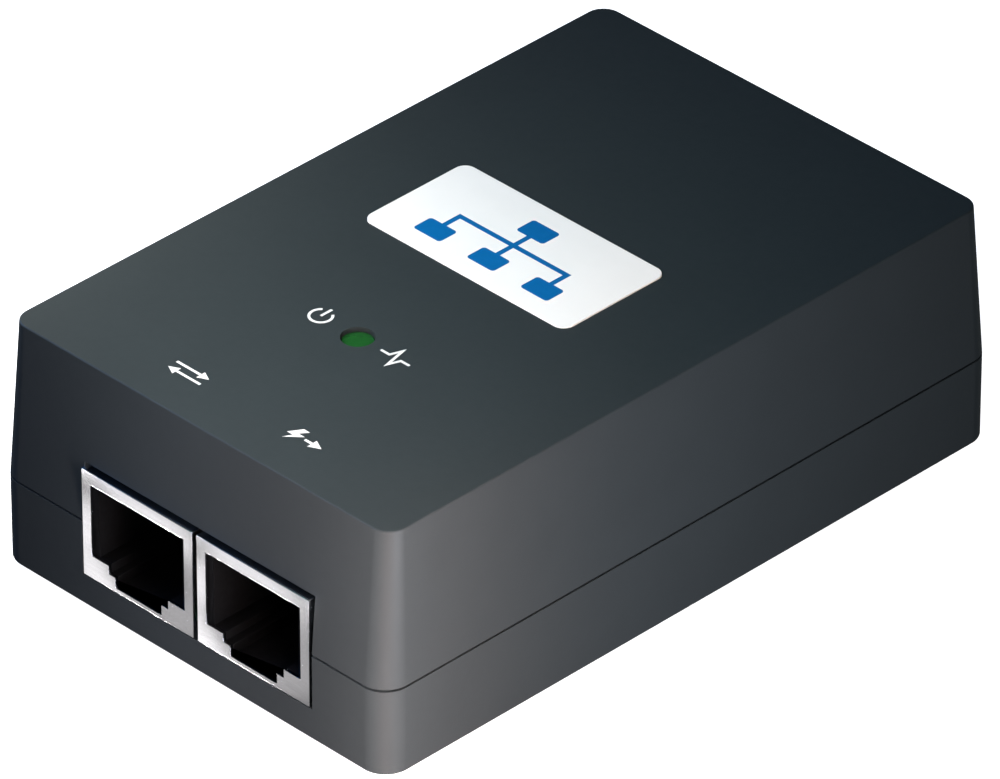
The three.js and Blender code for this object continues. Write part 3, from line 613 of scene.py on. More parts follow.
def make_base():
    """The lower shell with its lip, bosses, board posts, counterbores and foot recesses."""
    rings = [at_height(case_outline(inset), BOTTOM + drop) for inset, drop in reversed(list(edge_steps()))]
    rings.append(at_height(case_outline(0), PARTING_LOW))
    lip_top = BASE_HIGH.z
    lip = prism("tool", case_outline(LIP_INSET), PARTING_LOW - MM, lip_top)
    hollow = prism("tool", case_outline(WALL), BOTTOM + FLOOR, lip_top + MM)
    base = cut(join(loft("base_shell_fine", rings), lip), hollow)
    root = BOTTOM + FLOOR / 2
    posts = bars(SCREW_PLACES, BOSS_RADIUS, root, PARTING_LOW + PARTING_GAP / 2)
    post_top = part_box("circuit_board")[0].z - 0.05 * MM
    posts += bars([mm(x, y) for x, y in POST_PLACES], POST_RADIUS, root, post_top, 32)
    join(base, *posts)
    foot_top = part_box("foot_1")[1].z
    tools = bars(SCREW_PLACES, BORE_RADIUS, BOTTOM - MM, lip_top)
    tools += bars(SCREW_PLACES, COUNTERBORE_RADIUS, BOTTOM - MM, BOTTOM + COUNTERBORE_DEPTH)
    tools += bars(FOOT_PLACES, FOOT_RECESS_RADIUS, BOTTOM - MM, foot_top + 0.02 * MM, 64)
    cut(base, *tools, jack_window(), inlet_window())
    return soften(base, CASE_BEVEL)


finish_piece(make_cover(), CASE_LOOK, "case_plastic", "case", "top_cover")
finish_piece(make_base(), CASE_LOOK, "case_plastic", "case", "base_shell")

# ---- Label, signs and lamp ----


def make_label():
    """A flat plate with a finely broken upper rim."""
    rim = 0.05 * MM
    steps = ((0, LABEL_LOW.z), (0, LABEL_HIGH.z - rim), (-rim, LABEL_HIGH.z))
    rings = [at_height(label_outline(grow), z, LABEL_X, LABEL_Y) for grow, z in steps]
    return smooth_sides(loft("label_plate_fine", rings), 50)


finish_piece(make_label(), LABEL_LOOK, "label_film", "case", "label_plate")

PRINT_DEPTH = 0.02 * MM


def flat_print(name, outlines, z):
    """Thin printed shapes, each an outline in plan, as one mesh."""
    return merged(name, [prism("shape", outline, z, z + PRINT_DEPTH) for outline in outlines])


def network_glyph():
    """A generic wired-network sign: one box above, a bus line, and three boxes below."""
    unit = LABEL_HALF_Y * 2 / 15.4
    cell_x, cell_y, corner = 2.0 * unit, 1.35 * unit, 0.4 * unit
    stroke, spread = 0.32 * unit, 8.0 * unit
    bus_y, top_y, low_y = -0.1 * unit, 3.6 * unit, -3.8 * unit

    def frame_box(x, y):
        return [(px + x, py + y) for px, py in rounded_outline(cell_x, cell_y, corner, 6)]

    lines = []
    for x in (-spread, 0, spread):
        lines += [(x - stroke, bus_y - stroke), (x - stroke, low_y + cell_y)]
        lines += [(x + stroke, low_y + cell_y), (x + stroke, bus_y - stroke)]
    lines = lines[1:-1] + [
        (spread + stroke, bus_y + stroke),
        (stroke, bus_y + stroke),
        (stroke, top_y - cell_y),
        (-stroke, top_y - cell_y),
        (-stroke, bus_y + stroke),
        (-spread - stroke, bus_y + stroke),
    ]
    shapes = [frame_box(0, top_y), lines] + [frame_box(x, low_y) for x in (-spread, 0, spread)]
    return [[(x + LABEL_X, y + LABEL_Y) for x, y in shape] for shape in shapes]


glyph = flat_print("network_glyph", network_glyph(), LABEL_HIGH.z)
finish_piece(glyph, GLYPH_LOOK, "label_film", "case")


def ribbon(points, width):
    """The outline of a line of even width along points, with mitred corners."""
    line = [Vector(point) for point in points]
    left, right = [], []
    for i, point in enumerate(line):
        before = point - line[i - 1] if i > 0 else line[1] - point
        after = line[i + 1] - point if i < len(line) - 1 else before
        normals = [Vector((-way.y, way.x)).normalized() for way in (before, after)]
        mitre = (normals[0] + normals[1]).normalized()
        reach = mitre * (width / 2 / mitre.dot(normals[0]))
        left.append(tuple(point + reach))
        right.append(tuple(point - reach))
    return right + left[::-1]


def arrow(start, end, y, shaft, head):
    """The outline of a level arrow from start to end."""
    neck = end - math.copysign(head, end - start)
    return [
        (start, y - shaft / 2), (neck, y - shaft / 2), (neck, y - head / 2), (end, y),
        (neck, y + head / 2), (neck, y + shaft / 2), (start, y + shaft / 2),
    ]


def power_sign(height, stroke):
    """A ring that is open at the top, and a bar in its opening."""
    radius = height / 2
    opening = math.radians(38)
    start, sweep, steps = math.pi / 2 + opening, math.tau - 2 * opening, 40
    turns = [start + sweep * i / steps for i in range(steps + 1)]
    outer = [(radius * math.cos(turn), radius * math.sin(turn)) for turn in turns]
    ratio = 1 - stroke / radius
    inner = [(x * ratio, y * ratio) for x, y in outer]
    return [outer + inner[::-1], ribbon([(0, 0), (0, radius * 1.15)], stroke)]


def activity_sign(width, height, stroke):
    """A level line with one pulse in it."""
    half = width / 2
    pulse = [
        (-half, 0), (-half * 0.4, 0), (-half * 0.15, height / 2), (half * 0.15, -height / 2),
        (half * 0.4, 0), (half, 0),
    ]
    return [ribbon(pulse, stroke)]


def data_sign(width, height, stroke):
    """Two arrows, one each way: data only."""
    head = height * 0.5
    return [
        arrow(-width / 2, width / 2, height / 4, stroke, head),
        arrow(width / 2, -width / 2, -height / 4, stroke, head),
    ]


def powered_data_sign(width, height, stroke):
    """A lightning flash and an arrow: data with power."""
    left = -width / 2
    flash = [(0.45, 1), (0, 0.4), (0.4, 0.4), (0.15, 0), (0.95, 0.62), (0.52, 0.62), (0.85, 1)]
    bolt = [(left + x * height * 0.85, (y - 0.5) * height) for x, y in reversed(flash)]
    return [bolt, arrow(left + height * 0.95, width / 2, 0, stroke, height * 0.55)]


SIGN_STROKE = 0.3 * MM
PORT_SIGN = (4.6 * MM, 2.4 * MM, SIGN_STROKE)
PORT_SIGN_Y = -36.1 * MM
LAMP_SIGN = 2.7 * MM
LAMP_SIGN_APART = 5.3 * MM


def sign(name, outlines, x, y):
    """A small white print on the cover's top face."""
    placed = [[(px + x, py + y) for px, py in outline] for outline in outlines]
    finish_piece(flat_print(name, placed, TOP), SIGN_LOOK, "label_film", "case")


LAN_X, POE_X = ((low.x + high.x) / 2 for low, high in JACKS.values())
sign("data_sign", data_sign(*PORT_SIGN), LAN_X, PORT_SIGN_Y)
sign("powered_data_sign", powered_data_sign(*PORT_SIGN), POE_X, PORT_SIGN_Y)
sign("power_sign", power_sign(LAMP_SIGN, SIGN_STROKE), LED_X - LAMP_SIGN_APART, LED_Y)
sign("activity_sign", activity_sign(LAMP_SIGN * 1.5, LAMP_SIGN, SIGN_STROKE), LED_X + LAMP_SIGN_APART, LED_Y)


def make_light_pipe():
    """A clear green rod with a slightly domed end."""
    radius = (PIPE_HIGH.x - PIPE_LOW.x) / 2
    dome = 0.2 * MM
    shoulder = PIPE_HIGH.z - PIPE_LOW.z - dome
    profile = [(radius - dome, 0), (radius, dome), (radius, shoulder)]
    for angle in quarter_turn(6)[1:]:
        profile.append((radius * math.cos(angle), shoulder + dome * math.sin(angle)))
    return smooth_sides(lathe("light_pipe_fine", profile, LED_X, LED_Y, PIPE_LOW.z, 64), 50)


finish_piece(make_light_pipe(), LENS_LOOK, "green_lens", "case", "light_pipe")

# ---- Jacks ----

SHEET = 0.35 * MM
WIRE = 0.25 * MM
WIRES = range(1, 9)


def plug_outline(half_width, top):
    """The plug opening: a wide window, a step and a latch notch, clockwise from the top right."""
    step_half, notch_half = mm(4.32, 3.34)
    shelf, step, notch = mm(2.73, 1.72, 0.49)
    right = [(half_width, top), (half_width, shelf), (step_half, shelf)]
    right += [(step_half, step), (notch_half, step), (notch_half, notch)]
    return right + [(-x, z) for x, z in reversed(right)]


def make_shield(prefix):
    """The stamped metal shell: a front frame with the plug opening, and four walls."""
    low, high = JACKS[prefix]
    middle = (low.x + high.x) / 2
    inner_low = (low.x + SHEET, low.y + SHEET, low.z + SHEET)
    inner = box_solid("tool", inner_low, (high.x - SHEET, high.y + MM, high.z - SHEET))
    opening = along_y("tool", plug_outline(*mm(6.73, 11.37)), middle, low.z, low.y - MM, low.y + MM)
    slot_low = (low.x + MM, high.y - 3 * MM, low.z - MM)
    tail_slot = box_solid("tool", slot_low, (high.x - MM, high.y + MM, low.z + MM))
    shell = box_solid(f"{prefix}_shield_fine", low, high)
    shield = soften(cut(shell, inner, opening, tail_slot), 0.05 * MM)
    # The steel's crown is drawn about the object's origin, so that goes to the middle of the face.
    origin = Vector((middle, low.y, (low.z + high.z) / 2))
    shield.data.transform(Matrix.Translation(-origin))
    shield.location = origin
    return shield


def make_housing(prefix):
    """The moulded body inside the shield, with the plug cavity and the contacts' slots."""
    middle, _, node_low, node_high = middle_of(f"{prefix}_housing")
    low = JACKS[prefix][0]
    mouth, back = node_low.y - MM, node_high.y - MM
    cavity = along_y("tool", plug_outline(*mm(6, 10.95)), middle, low.z, mouth, back)
    half, slot_front = 0.31 * MM, low.y + 2.6 * MM
    slot_low, slot_high = low.z + 10.45 * MM, low.z + 11.95 * MM
    slots = []
    for i in WIRES:
        x = middle_of(f"{prefix}_contact_{i}")[0]
        slot_end = (x + half, back + 2 * MM, slot_high)
        slots.append(box_solid("tool", (x - half, slot_front, slot_low), slot_end))
    housing = box_solid(f"{prefix}_housing_fine", node_low, node_high)
    return soften(cut(housing, cavity, *slots), 0.08 * MM)


def make_contact(prefix, number):
    """One spring wire: a hairpin at the front and an arm that slopes back and down into the cavity."""
    _, _, low, high = middle_of(f"{prefix}_contact_{number}")
    bend, reach, overlap = mm(0.35, 6.8, 0.4)
    slope = math.radians(26)
    outer, inner = bend + WIRE / 2, bend - WIRE / 2
    front, top = low.y + outer, high.z - outer
    steps = 14
    rails = []
    for radius in (outer, inner):
        rail = [(front + overlap, top + radius)]
        for step in range(steps + 1):
            angle = math.pi / 2 + step / steps * (math.pi - slope)
            rail.append((front + radius * math.cos(angle), top + radius * math.sin(angle)))
        last_y, last_z = rail[-1]
        rail.append((last_y + math.cos(slope) * reach, last_z - math.sin(slope) * reach))
        rails.append(rail)
    outline = rails[0] + rails[1][::-1]
    sides = [[(x, y, z) for y, z in outline] for x in (low.x, high.x)]
    return soften(loft(f"{prefix}_contact_{number}_fine", sides), 0.045 * MM, smooth=40)


def make_carrier(prefix):
    """The moulded insert behind the housing, and the wires' fixed legs and solder tails that it holds."""
    middle, _, low, high = middle_of(f"{prefix}_contact_carrier")
    shield_low, shield_high = JACKS[prefix]
    front, bottom = shield_low.y + 13.1 * MM, shield_low.z + 0.95 * MM
    body_top = shield_high.z - 0.55 * MM
    groove_deep, groove_tall = mm(2.6, 0.5)
    grooves = [
        box_solid("tool", (low.x - MM, front + MM, z), (high.x + MM, front + groove_deep, z + groove_tall))
        for z in (bottom + 7 * MM, bottom + 9 * MM)
    ]
    core_half, core_front = 6.4 * MM, front + 0.9 * MM
    core_low, core_high = (middle - core_half, core_front, bottom), (middle + core_half, high.y, body_top)
    block = box_solid(f"{prefix}_carrier_fine", (low.x, front, bottom), (high.x, high.y, body_top))
    block = soften(join(cut(block, *grooves), box_solid("tool", core_low, core_high)), 0.12 * MM)
    leg_top, leg_start = shield_low.z + 11.595 * MM, shield_low.y + 4.2 * MM
    tail_front, tail_back = high.y - 1.1 * MM, high.y - 0.8 * MM
    legs = []
    for i in WIRES:
        left, right = (corner.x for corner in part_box(f"{prefix}_contact_{i}"))
        legs.append(box_solid("leg", (left, leg_start, leg_top - WIRE), (right, front + MM, leg_top)))
        legs.append(box_solid("leg", (left, tail_front, low.z), (right, tail_back, bottom + MM)))
    return block, soften(merged(f"{prefix}_contact_legs", legs), 0.04 * MM)


for prefix in JACKS:
    finish_piece(make_shield(prefix), SHIELD_LOOK, "shield_steel", "case", f"{prefix}_shield")
    finish_piece(make_housing(prefix), BLACK_LOOK, "black_plastic", "case", f"{prefix}_housing")
    carrier, legs = make_carrier(prefix)
    finish_piece(carrier, BLACK_LOOK, "black_plastic", "case", f"{prefix}_contact_carrier")
    finish_piece(legs, GOLD_LOOK, "contact_gold", "case")
    for i in WIRES:
        contact = make_contact(prefix, i)
        finish_piece(contact, GOLD_LOOK, "contact_gold", f"{prefix}_contacts", f"{prefix}_contact_{i}")

# ---- Feet, screws and the mains inlet ----


def quarter_round(middle, height, radius, steps=6):
    """Profile points of an outward quarter round from its lowest point up."""
    for angle in quarter_turn(steps):
        yield middle + radius * math.sin(angle), height - radius * math.cos(angle)


def make_foot(name):
    """A round rubber foot with a rolled edge and a shallow dish in its sole."""
    x, y, low, high = middle_of(name)
    radius = (high.x - low.x) / 2
    edge, dish = mm(0.4, 0.12)
    profile = [(radius * 0.5, dish), (radius * 0.66, dish), (radius * 0.72, 0)]
    profile += quarter_round(radius - edge, edge, edge)
    profile.append((radius, high.z - low.z))
    return smooth_sides(lathe(f"{name}_fine", profile, x, y, low.z, 64), 40)


def thread(name, radius, depth, pitch, x, y, low, high, steps=20):
    """A rod with a screw thread, tapering to a point in its last two millimetres."""
    rows_per_turn, point, least = 5, 2 * MM, 0.02 * MM
    rings = []
    rows = round((high - low) / pitch * rows_per_turn)
    for row in range(rows + 1):
        z = low + (high - low) * row / rows
        taper = min(1, max(high - z, 0) / point)
        ring = []
        for i in range(steps):
            turn = i / steps
            phase = ((z - low) / pitch - turn) % 1
            crest = max(0, 1 - abs(phase - 0.5) * 4)
            local = max((radius - depth + depth * crest) * taper, least)
            ring.append((x + local * math.cos(math.tau * turn), y + local * math.sin(math.tau * turn), z))
        rings.append(ring)
    return loft(name, rings)


def make_screw(name):
    """A pan-head self-tapping screw with a cross recess, head down."""
    x, y, low, high = middle_of(name)
    head = (high.x - low.x) / 2
    head_height, crown, chamfer = mm(1.9, 0.5, 0.15)
    profile = [(head * 0.55, 0)] + list(quarter_round(head - crown, crown, crown))
    profile += [(head, head_height - chamfer), (head - chamfer, head_height)]
    pan = lathe(f"{name}_fine", profile, x, y, low.z, 40)
    arm, slot, deep = mm(1.4, 0.32, 1.1)
    recess = [
        box_solid("tool", (x - along, y - across, low.z - MM), (x + along, y + across, low.z + deep))
        for along, across in ((arm, slot), (slot, arm))
    ]
    cut(pan, *recess)
    shank, depth, pitch = mm(1.35, 0.28, 1.1)
    rod = thread("rod", shank, depth, pitch, x, y, low.z + head_height, high.z)
    return smooth_sides(merged(f"{name}_fine", [pan, rod]), 38)


for i in range(1, 5):
    finish_piece(make_foot(f"foot_{i}"), RUBBER_LOOK, "foot_rubber", "case", f"foot_{i}")
    finish_piece(make_screw(f"case_screw_{i}"), SCREW_LOOK, "screw_steel", "case", f"case_screw_{i}")


def make_inlet():
    """The three-pin inlet's moulding: a deep chamfered socket with slots for the pins in its floor."""
    middle_z = (INLET_LOW.z + INLET_HIGH.z) / 2
    half_x, half_z, chamfer, deep, play = mm(12.2, 8.45, 5.4, 16.8, 0.1)
    cavity = [(-half_x, -half_z), (half_x, -half_z), (half_x, half_z - chamfer)]
    cavity += [(half_x - chamfer, half_z), (-half_x + chamfer, half_z), (-half_x, half_z - chamfer)]
    floor = INLET_HIGH.y - deep
    tools = [along_y("tool", cavity, 0, middle_z, floor, INLET_HIGH.y + MM)]
    for pin in PINS:
        low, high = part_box(pin)
        slot_low = (low.x - play, INLET_LOW.y - MM, high.z - BLADE - play)
        tools.append(box_solid("tool", slot_low, (high.x + play, floor + MM, high.z + play)))
    housing = box_solid("inlet_housing_fine", INLET_LOW, INLET_HIGH)
    return soften(cut(housing, *tools), 0.25 * MM, segments=3)


def make_pin(name):
    """A blade with a tapered tip, and a tail down to the board."""
    middle, _, low, high = middle_of(name)
    half, tip = (high.x - low.x) / 2, 0.45
    taper, tail = mm(1.2, 0.8)
    right = [(half, low.y), (half, high.y - taper), (half * tip, high.y)]
    plan = right + [(-x, y) for x, y in right[::-1]]
    pin = prism(f"{name}_fine", plan, high.z - BLADE, high.z, middle)
    join(pin, box_solid("tool", low, (high.x, low.y + tail, high.z - BLADE / 2)))
    return soften(pin, 0.16 * MM, segments=3)


BLADE = 4 * MM
PINS = ("inlet_line_pin", "inlet_neutral_pin", "inlet_earth_pin")
finish_piece(make_inlet(), INLET_LOOK, "black_plastic", "case", "inlet_housing")
for pin in PINS:
    finish_piece(make_pin(pin), PIN_LOOK, "pin_metal", "case", pin)

# ---- Circuit board and its parts ----

PIN_PITCH = 2.54 * MM


def put(piece, look, slot, *replaced):
    """Finishes a piece that rides on the case."""
    return finish_piece(piece, look, slot, "case", *replaced)


def bevelled_node(name, look, width):
    """A CAD node whose shape is right: its edges are broken and it gets its material."""
    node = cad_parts[name]
    node.data.materials.clear()
    node.data.materials.append(look)
    weld = node.modifiers.new("weld", "WELD")
    weld.merge_threshold = 4 * SLIVER
    bevel = node.modifiers.new("bevel", "BEVEL")
    bevel.width = width
    bevel.segments = 2
    bevel.limit_method = "ANGLE"


def put_leads(name, places, low, high, radius):
    """Round upright leads as one piece."""
    rods = [cylinder("rod", radius, x, y, low, high, 12) for x, y in places]
    put(smooth_sides(merged(name, rods), 40), PIN_LOOK, "pin_metal")


def bent_leads(x, y, z, half, foot, radius):
    """A lead out of each end of a part that lies along Y, bent down to the board."""
    reach, bend = mm(1.6, 0.5)
    for side in (-1, 1):
        end = y + side * (half + reach)
        path = [(x, y + side * half, z), (x, end - side * bend, z), (x, end, z - bend), (x, end, foot)]
        yield tube("lead", path, radius)


def make_fuse():
    """A glass cartridge with end caps and two bent leads."""
    x, y, low, high = middle_of("fuse")
    half, cap, cap_radius, glass_radius = mm(9.5, 5, 2.6, 2.3)
    z = high.z - cap_radius
    inside = [(glass_radius, 0), (glass_radius, 2 * (half - cap))]
    glass = smooth_sides(lathe_along_y("fuse_fine", inside, x, y - half + cap, z))
    put(glass, GLASS_LOOK, "fuse_glass", "fuse")
    chamfer, rim = mm(0.3, 0.2)
    profile = [(cap_radius - chamfer, 0), (cap_radius, chamfer)]
    profile += [(cap_radius, cap - rim), (cap_radius - rim, cap)]
    metal = [lathe_along_y("cap", profile, x, start, z) for start in (y - half, y + half - cap)]
    metal += bent_leads(x, y, z, half, low.z, 0.35 * MM)
    put(smooth_sides(merged("fuse_caps", metal), 40), PIN_LOOK, "pin_metal")


def turned_ring(name, section, x, y, steps):
    """A ring turned about an upright axis from a closed section of (radius, height) pairs."""
    turns = [math.tau * i / steps for i in range(steps)]
    rings = [[(x + r * math.cos(turn), y + r * math.sin(turn), z) for r, z in section] for turn in turns]
    return loft(name, rings, closed=True)


def make_choke():
    """A ferrite ring with two windings of enamelled wire on opposite sides."""
    x, y, low, high = middle_of("choke_core")
    outer, inner, edge = (high.x - low.x) / 2, 4 * MM, 0.6 * MM
    section = [
        (inner + edge, low.z), (outer - edge, low.z), (outer, low.z + edge), (outer, high.z - edge),
        (outer - edge, high.z), (inner + edge, high.z), (inner, high.z - edge), (inner, low.z + edge),
    ]
    core = smooth_sides(turned_ring("choke_core_fine", section, x, y, 64), 50)
    put(core, FERRITE_LOOK, "ferrite", "choke_core")
    wire, play, corner = mm(0.38, 0.04, 0.7)
    turns, span = 9, math.radians(112)
    gap = wire + play
    middle_radius, middle_z = (inner + outer) / 2, (low.z + high.z) / 2
    loop = rounded_outline((outer - inner) / 2 + gap, (high.z - low.z) / 2 + gap, corner, 4)
    for name, middle in (("choke_winding_line", 0), ("choke_winding_neutral", math.pi)):
        loops = []
        for turn in range(turns):
            angle = middle - span / 2 + span * turn / (turns - 1)
            path = []
            for across, up in loop:
                radius = middle_radius + across
                path.append((x + radius * math.cos(angle), y + radius * math.sin(angle), middle_z + up))
            loops.append(tube("turn", path, wire, 8, closed=True))
        put(smooth_sides(merged(f"{name}_fine", loops), 60), COPPER_LOOK, "copper_wire", name)


def make_electrolytic(name):
    """A can with a crimped sleeve, and a bare top scored so that it can vent."""
    x, y, low, high = middle_of(name)
    radius, tall = (high.y - low.y) / 2, high.z - low.z
    groove, lip, rim, step = mm(0.3, 0.5, 0.2, 0.12)
    profile = [(radius - rim, 0), (radius, rim), (radius, 1.1 * MM)]
    profile += [(radius - groove, 1.5 * MM), (radius - groove, 1.9 * MM), (radius, 2.3 * MM)]
    profile += [(radius, tall - lip), (radius - lip * 0.3, tall - lip * 0.2), (radius - lip, tall)]
    profile += [(radius - lip * 1.6, tall), (radius - lip * 1.7, tall - step)]
    sleeve = smooth_sides(lathe(f"{name}_fine", profile, x, y, low.z, 64), 45)
    put(sleeve, SLEEVE_LOOK, "capacitor_sleeve", name)
    disc, floor = radius - lip * 1.7, high.z - 0.08 * MM
    top = cylinder(f"{name}_top", disc, x, y, high.z - 0.13 * MM, high.z - 0.02 * MM)
    arm, slot = disc * 0.75, 0.12 * MM
    scores = [
        box_solid("tool", (x - along, y - across, floor), (x + along, y + across, high.z))
        for along, across in ((arm, slot), (slot, arm))
    ]
    put(smooth_sides(cut(top, *scores)), ALUMINIUM_LOOK, "heatsink_aluminium")


def make_film_capacitor():
    """A moulded box capacitor on two leads."""
    x, y, low, high = middle_of("x_capacitor")
    body = box_solid("x_capacitor_fine", (low.x, low.y, low.z + 0.5 * MM), high)
    put(soften(body, 0.45 * MM, segments=4), YELLOW_BOX_LOOK, "yellow_box", "x_capacitor")
    apart, radius = mm(7.5, 0.35)
    put_leads("x_capacitor_leads", [(x - apart, y), (x + apart, y)], low.z, low.z + MM, radius)


def make_rectifier():
    """A flat moulded bridge with a chamfered corner on four leads."""
    x, y, low, high = middle_of("bridge_rectifier")
    notch, pitch, radius = mm(2.2, 3.8, 0.42)
    bottom = low.z + 3.5 * MM
    outline = [(low.x, bottom), (high.x, bottom), (high.x, high.z)]
    outline += [(low.x + notch, high.z), (low.x, high.z - notch)]
    body = along_y("bridge_rectifier_fine", outline, 0, 0, low.y, high.y)
    put(soften(body, 0.3 * MM, segments=3), EPOXY_LOOK, "chip_epoxy", "bridge_rectifier")
    places = [(x + (i - 1.5) * pitch, y) for i in range(4)]
    put_leads("bridge_rectifier_leads", places, low.z, bottom + 0.5 * MM, radius)


def make_heatsink():
    """A flat aluminium plate on two board tabs."""
    x, y, low, high = middle_of("primary_heatsink")
    thick, half, apart = mm(0.5, 0.9, 7)
    plate = box_solid("primary_heatsink_fine", (low.x, low.y, low.z + MM), high)
    tabs = [
        box_solid("tool", (x - thick, middle - half, low.z), (x + thick, middle + half, low.z + 2 * MM))
        for middle in (y - apart, y + apart)
    ]
    put(soften(join(plate, *tabs), 0.15 * MM), ALUMINIUM_LOOK, "heatsink_aluminium", "primary_heatsink")


def make_transistor():
    """A power package: a moulding on a drilled metal tab, with three leads."""
    _, y, low, high = middle_of("switching_transistor")
    bottom, shoulder, hole_z = low.z + 4 * MM, low.z + 12.6 * MM, low.z + 14.8 * MM
    tab_x = high.x - 1.25 * MM
    moulding = box_solid("switching_transistor_fine", (low.x, low.y, bottom), (tab_x, high.y, shoulder))
    put(soften(moulding, 0.3 * MM, segments=3), EPOXY_LOOK, "chip_epoxy", "switching_transistor")
    tab = box_solid("switching_transistor_tab", (tab_x, low.y, bottom), (high.x, high.y, high.z))
    hole = cylinder("tool", 1.8 * MM, 0, 0, -9 * MM, 9 * MM, 32)
    hole.data.transform(Matrix.Rotation(math.pi / 2, 4, "Y"))
    hole.data.transform(Matrix.Translation((tab_x, y, hole_z)))
    put(soften(cut(tab, hole), 0.1 * MM), ALUMINIUM_LOOK, "heatsink_aluminium")
    left, right, half = low.x + 1.5 * MM, low.x + 2.1 * MM, 0.35 * MM
    legs = [
        box_solid("leg", (left, leg_y - half, low.z), (right, leg_y + half, bottom + MM))
        for leg_y in (y - PIN_PITCH, y, y + PIN_PITCH)
    ]
    put(soften(merged("switching_transistor_legs", legs), 0.06 * MM), PIN_LOOK, "pin_metal")


def strip(name, path, y, width, thick):
    """A flat bent leg along a path in X and Z, of a width along Y."""
    rings = []
    for i, (px, pz) in enumerate(path):
        before, after = path[max(i - 1, 0)], path[min(i + 1, len(path) - 1)]
        along = Vector((after[0] - before[0], 0, after[1] - before[1])).normalized()
        side = Vector((-along.z, 0, along.x)) * thick / 2
        middle, across = Vector((px, y, pz)), Vector((0, width / 2, 0))
        near, far = middle - across, middle + across
        rings.append([near - side, near + side, far + side, far - side])
    return loft(name, rings)


def make_dual_inline(name, pins):
    """A moulded chip with a waist at its parting line, a first-pin dimple, and bent legs down both sides."""
    x, y, low, high = middle_of(name)
    half_x, half_y = (high.x - low.x) / 2 - 0.8 * MM, (high.y - low.y) / 2
    bottom, waist = low.z + 0.6 * MM, low.z + 2.1 * MM
    draft, land, corner = mm(0.25, 0.2, 0.1)
    rings = []
    for inset, z in ((draft, bottom), (0, waist), (0, waist + land), (draft, high.z)):
        rings.append(at_height(rounded_outline(half_x - inset, half_y - inset, corner, 3), z, x, y))
    dimple_x, dimple_y, dimple_z = x - half_x + MM, y + half_y - MM, high.z - 0.15 * MM
    dimple = cylinder("tool", 0.5 * MM, dimple_x, dimple_y, dimple_z, high.z + MM, 24)
    put(soften(cut(loft(f"{name}_fine", rings), dimple), 0.07 * MM), EPOXY_LOOK, "chip_epoxy", name)
    reach, root, bend, width, thick = mm(0.6, 0.3, 0.15, 0.5, 0.24)
    legs = []
    for i in range(pins):
        leg_y = y + (i - (pins - 1) / 2) * PIN_PITCH
        for side in (-1, 1):
            outer, inner = x + side * (half_x + reach), x + side * (half_x - root)
            path = [(inner, waist), (outer - side * bend, waist), (outer, waist - bend), (outer, low.z)]
            legs.append(strip("leg", path, leg_y, width, thick))
    put(soften(merged(f"{name}_legs", legs), 0.05 * MM), PIN_LOOK, "pin_metal")


def make_transformer():
    """A ferrite frame round a bobbin that carries taped windings."""
    bevelled_node("transformer_core", FERRITE_LOOK, 0.25 * MM)
    bevelled_node("transformer_bobbin", BOBBIN_LOOK, 0.12 * MM)
    x, y, low, high = middle_of("transformer_winding")
    half_x, half_y = (high.x - low.x) / 2, (high.y - low.y) / 2
    layers = 5
    rise = (high.z - low.z) / layers
    corner, dip, tube_x, tube_y = mm(2, 0.12, 4.2, 4)
    rings = []
    for layer in range(layers):
        for share, inset in ((0.02, dip), (0.12, 0), (0.88, 0), (0.98, dip)):
            outline = rounded_outline(half_x - inset, half_y - inset, corner, 10)
            rings.append(at_height(outline, low.z + rise * (layer + share), x, y))
    winding = loft("transformer_winding_fine", rings)
    tube_low = (x - tube_x, y - tube_y, low.z - MM)
    cut(winding, box_solid("tool", tube_low, (x + tube_x, y + tube_y, high.z + MM)))
    put(smooth_sides(winding, 35), TAPE_LOOK, "yellow_tape", "transformer_winding")


def make_disc_capacitor():
    """A dipped ceramic disc, thinner at its rim, on two straight leads."""
    x, y, low, high = middle_of("y_capacitor")
    radius, half = (high.y - low.y) / 2, (high.x - low.x) / 2
    profile = []
    for step in range(-6, 7):
        angle = step / 6 * math.pi / 2
        profile.append((radius - half + half * math.cos(angle), half + half * math.sin(angle)))
    disc = lathe("y_capacitor_fine", profile)
    disc.data.transform(Matrix.Rotation(math.pi / 2, 4, "Y"))
    disc.data.transform(Matrix.Translation((x - half, y, high.z - radius)))
    put(smooth_sides(disc, 60), DISC_LOOK, "blue_disc", "y_capacitor")
    apart, tall, wire = mm(2.5, 4.4, 0.3)
    put_leads("y_capacitor_leads", [(x, y - apart), (x, y + apart)], low.z, low.z + tall, wire)


def make_diode():
    """A round moulded diode lying on its leads, with a pale band at its cathode."""
    x, y, low, high = middle_of("output_diode")
    radius, half, edge = mm(2.6, 4.75, 0.35)
    z = high.z - 2.66 * MM
    profile = [(radius - edge, 0), (radius, edge), (radius, 2 * half - edge), (radius - edge, 2 * half)]
    body = smooth_sides(lathe_along_y("output_diode_fine", profile, x, y - half, z), 50)
    put(body, EPOXY_LOOK, "chip_epoxy", "output_diode")
    band_radius, band_low = radius + 0.03 * MM, y + half - 2.2 * MM
    band = lathe_along_y("output_diode_band", [(band_radius, 0), (band_radius, MM)], x, band_low, z)
    put(smooth_sides(band), ALUMINIUM_LOOK, "chip_epoxy")
    wires = merged("output_diode_leads", list(bent_leads(x, y, z, half, low.z, 0.38 * MM)))
    put(smooth_sides(wires, 40), PIN_LOOK, "pin_metal")


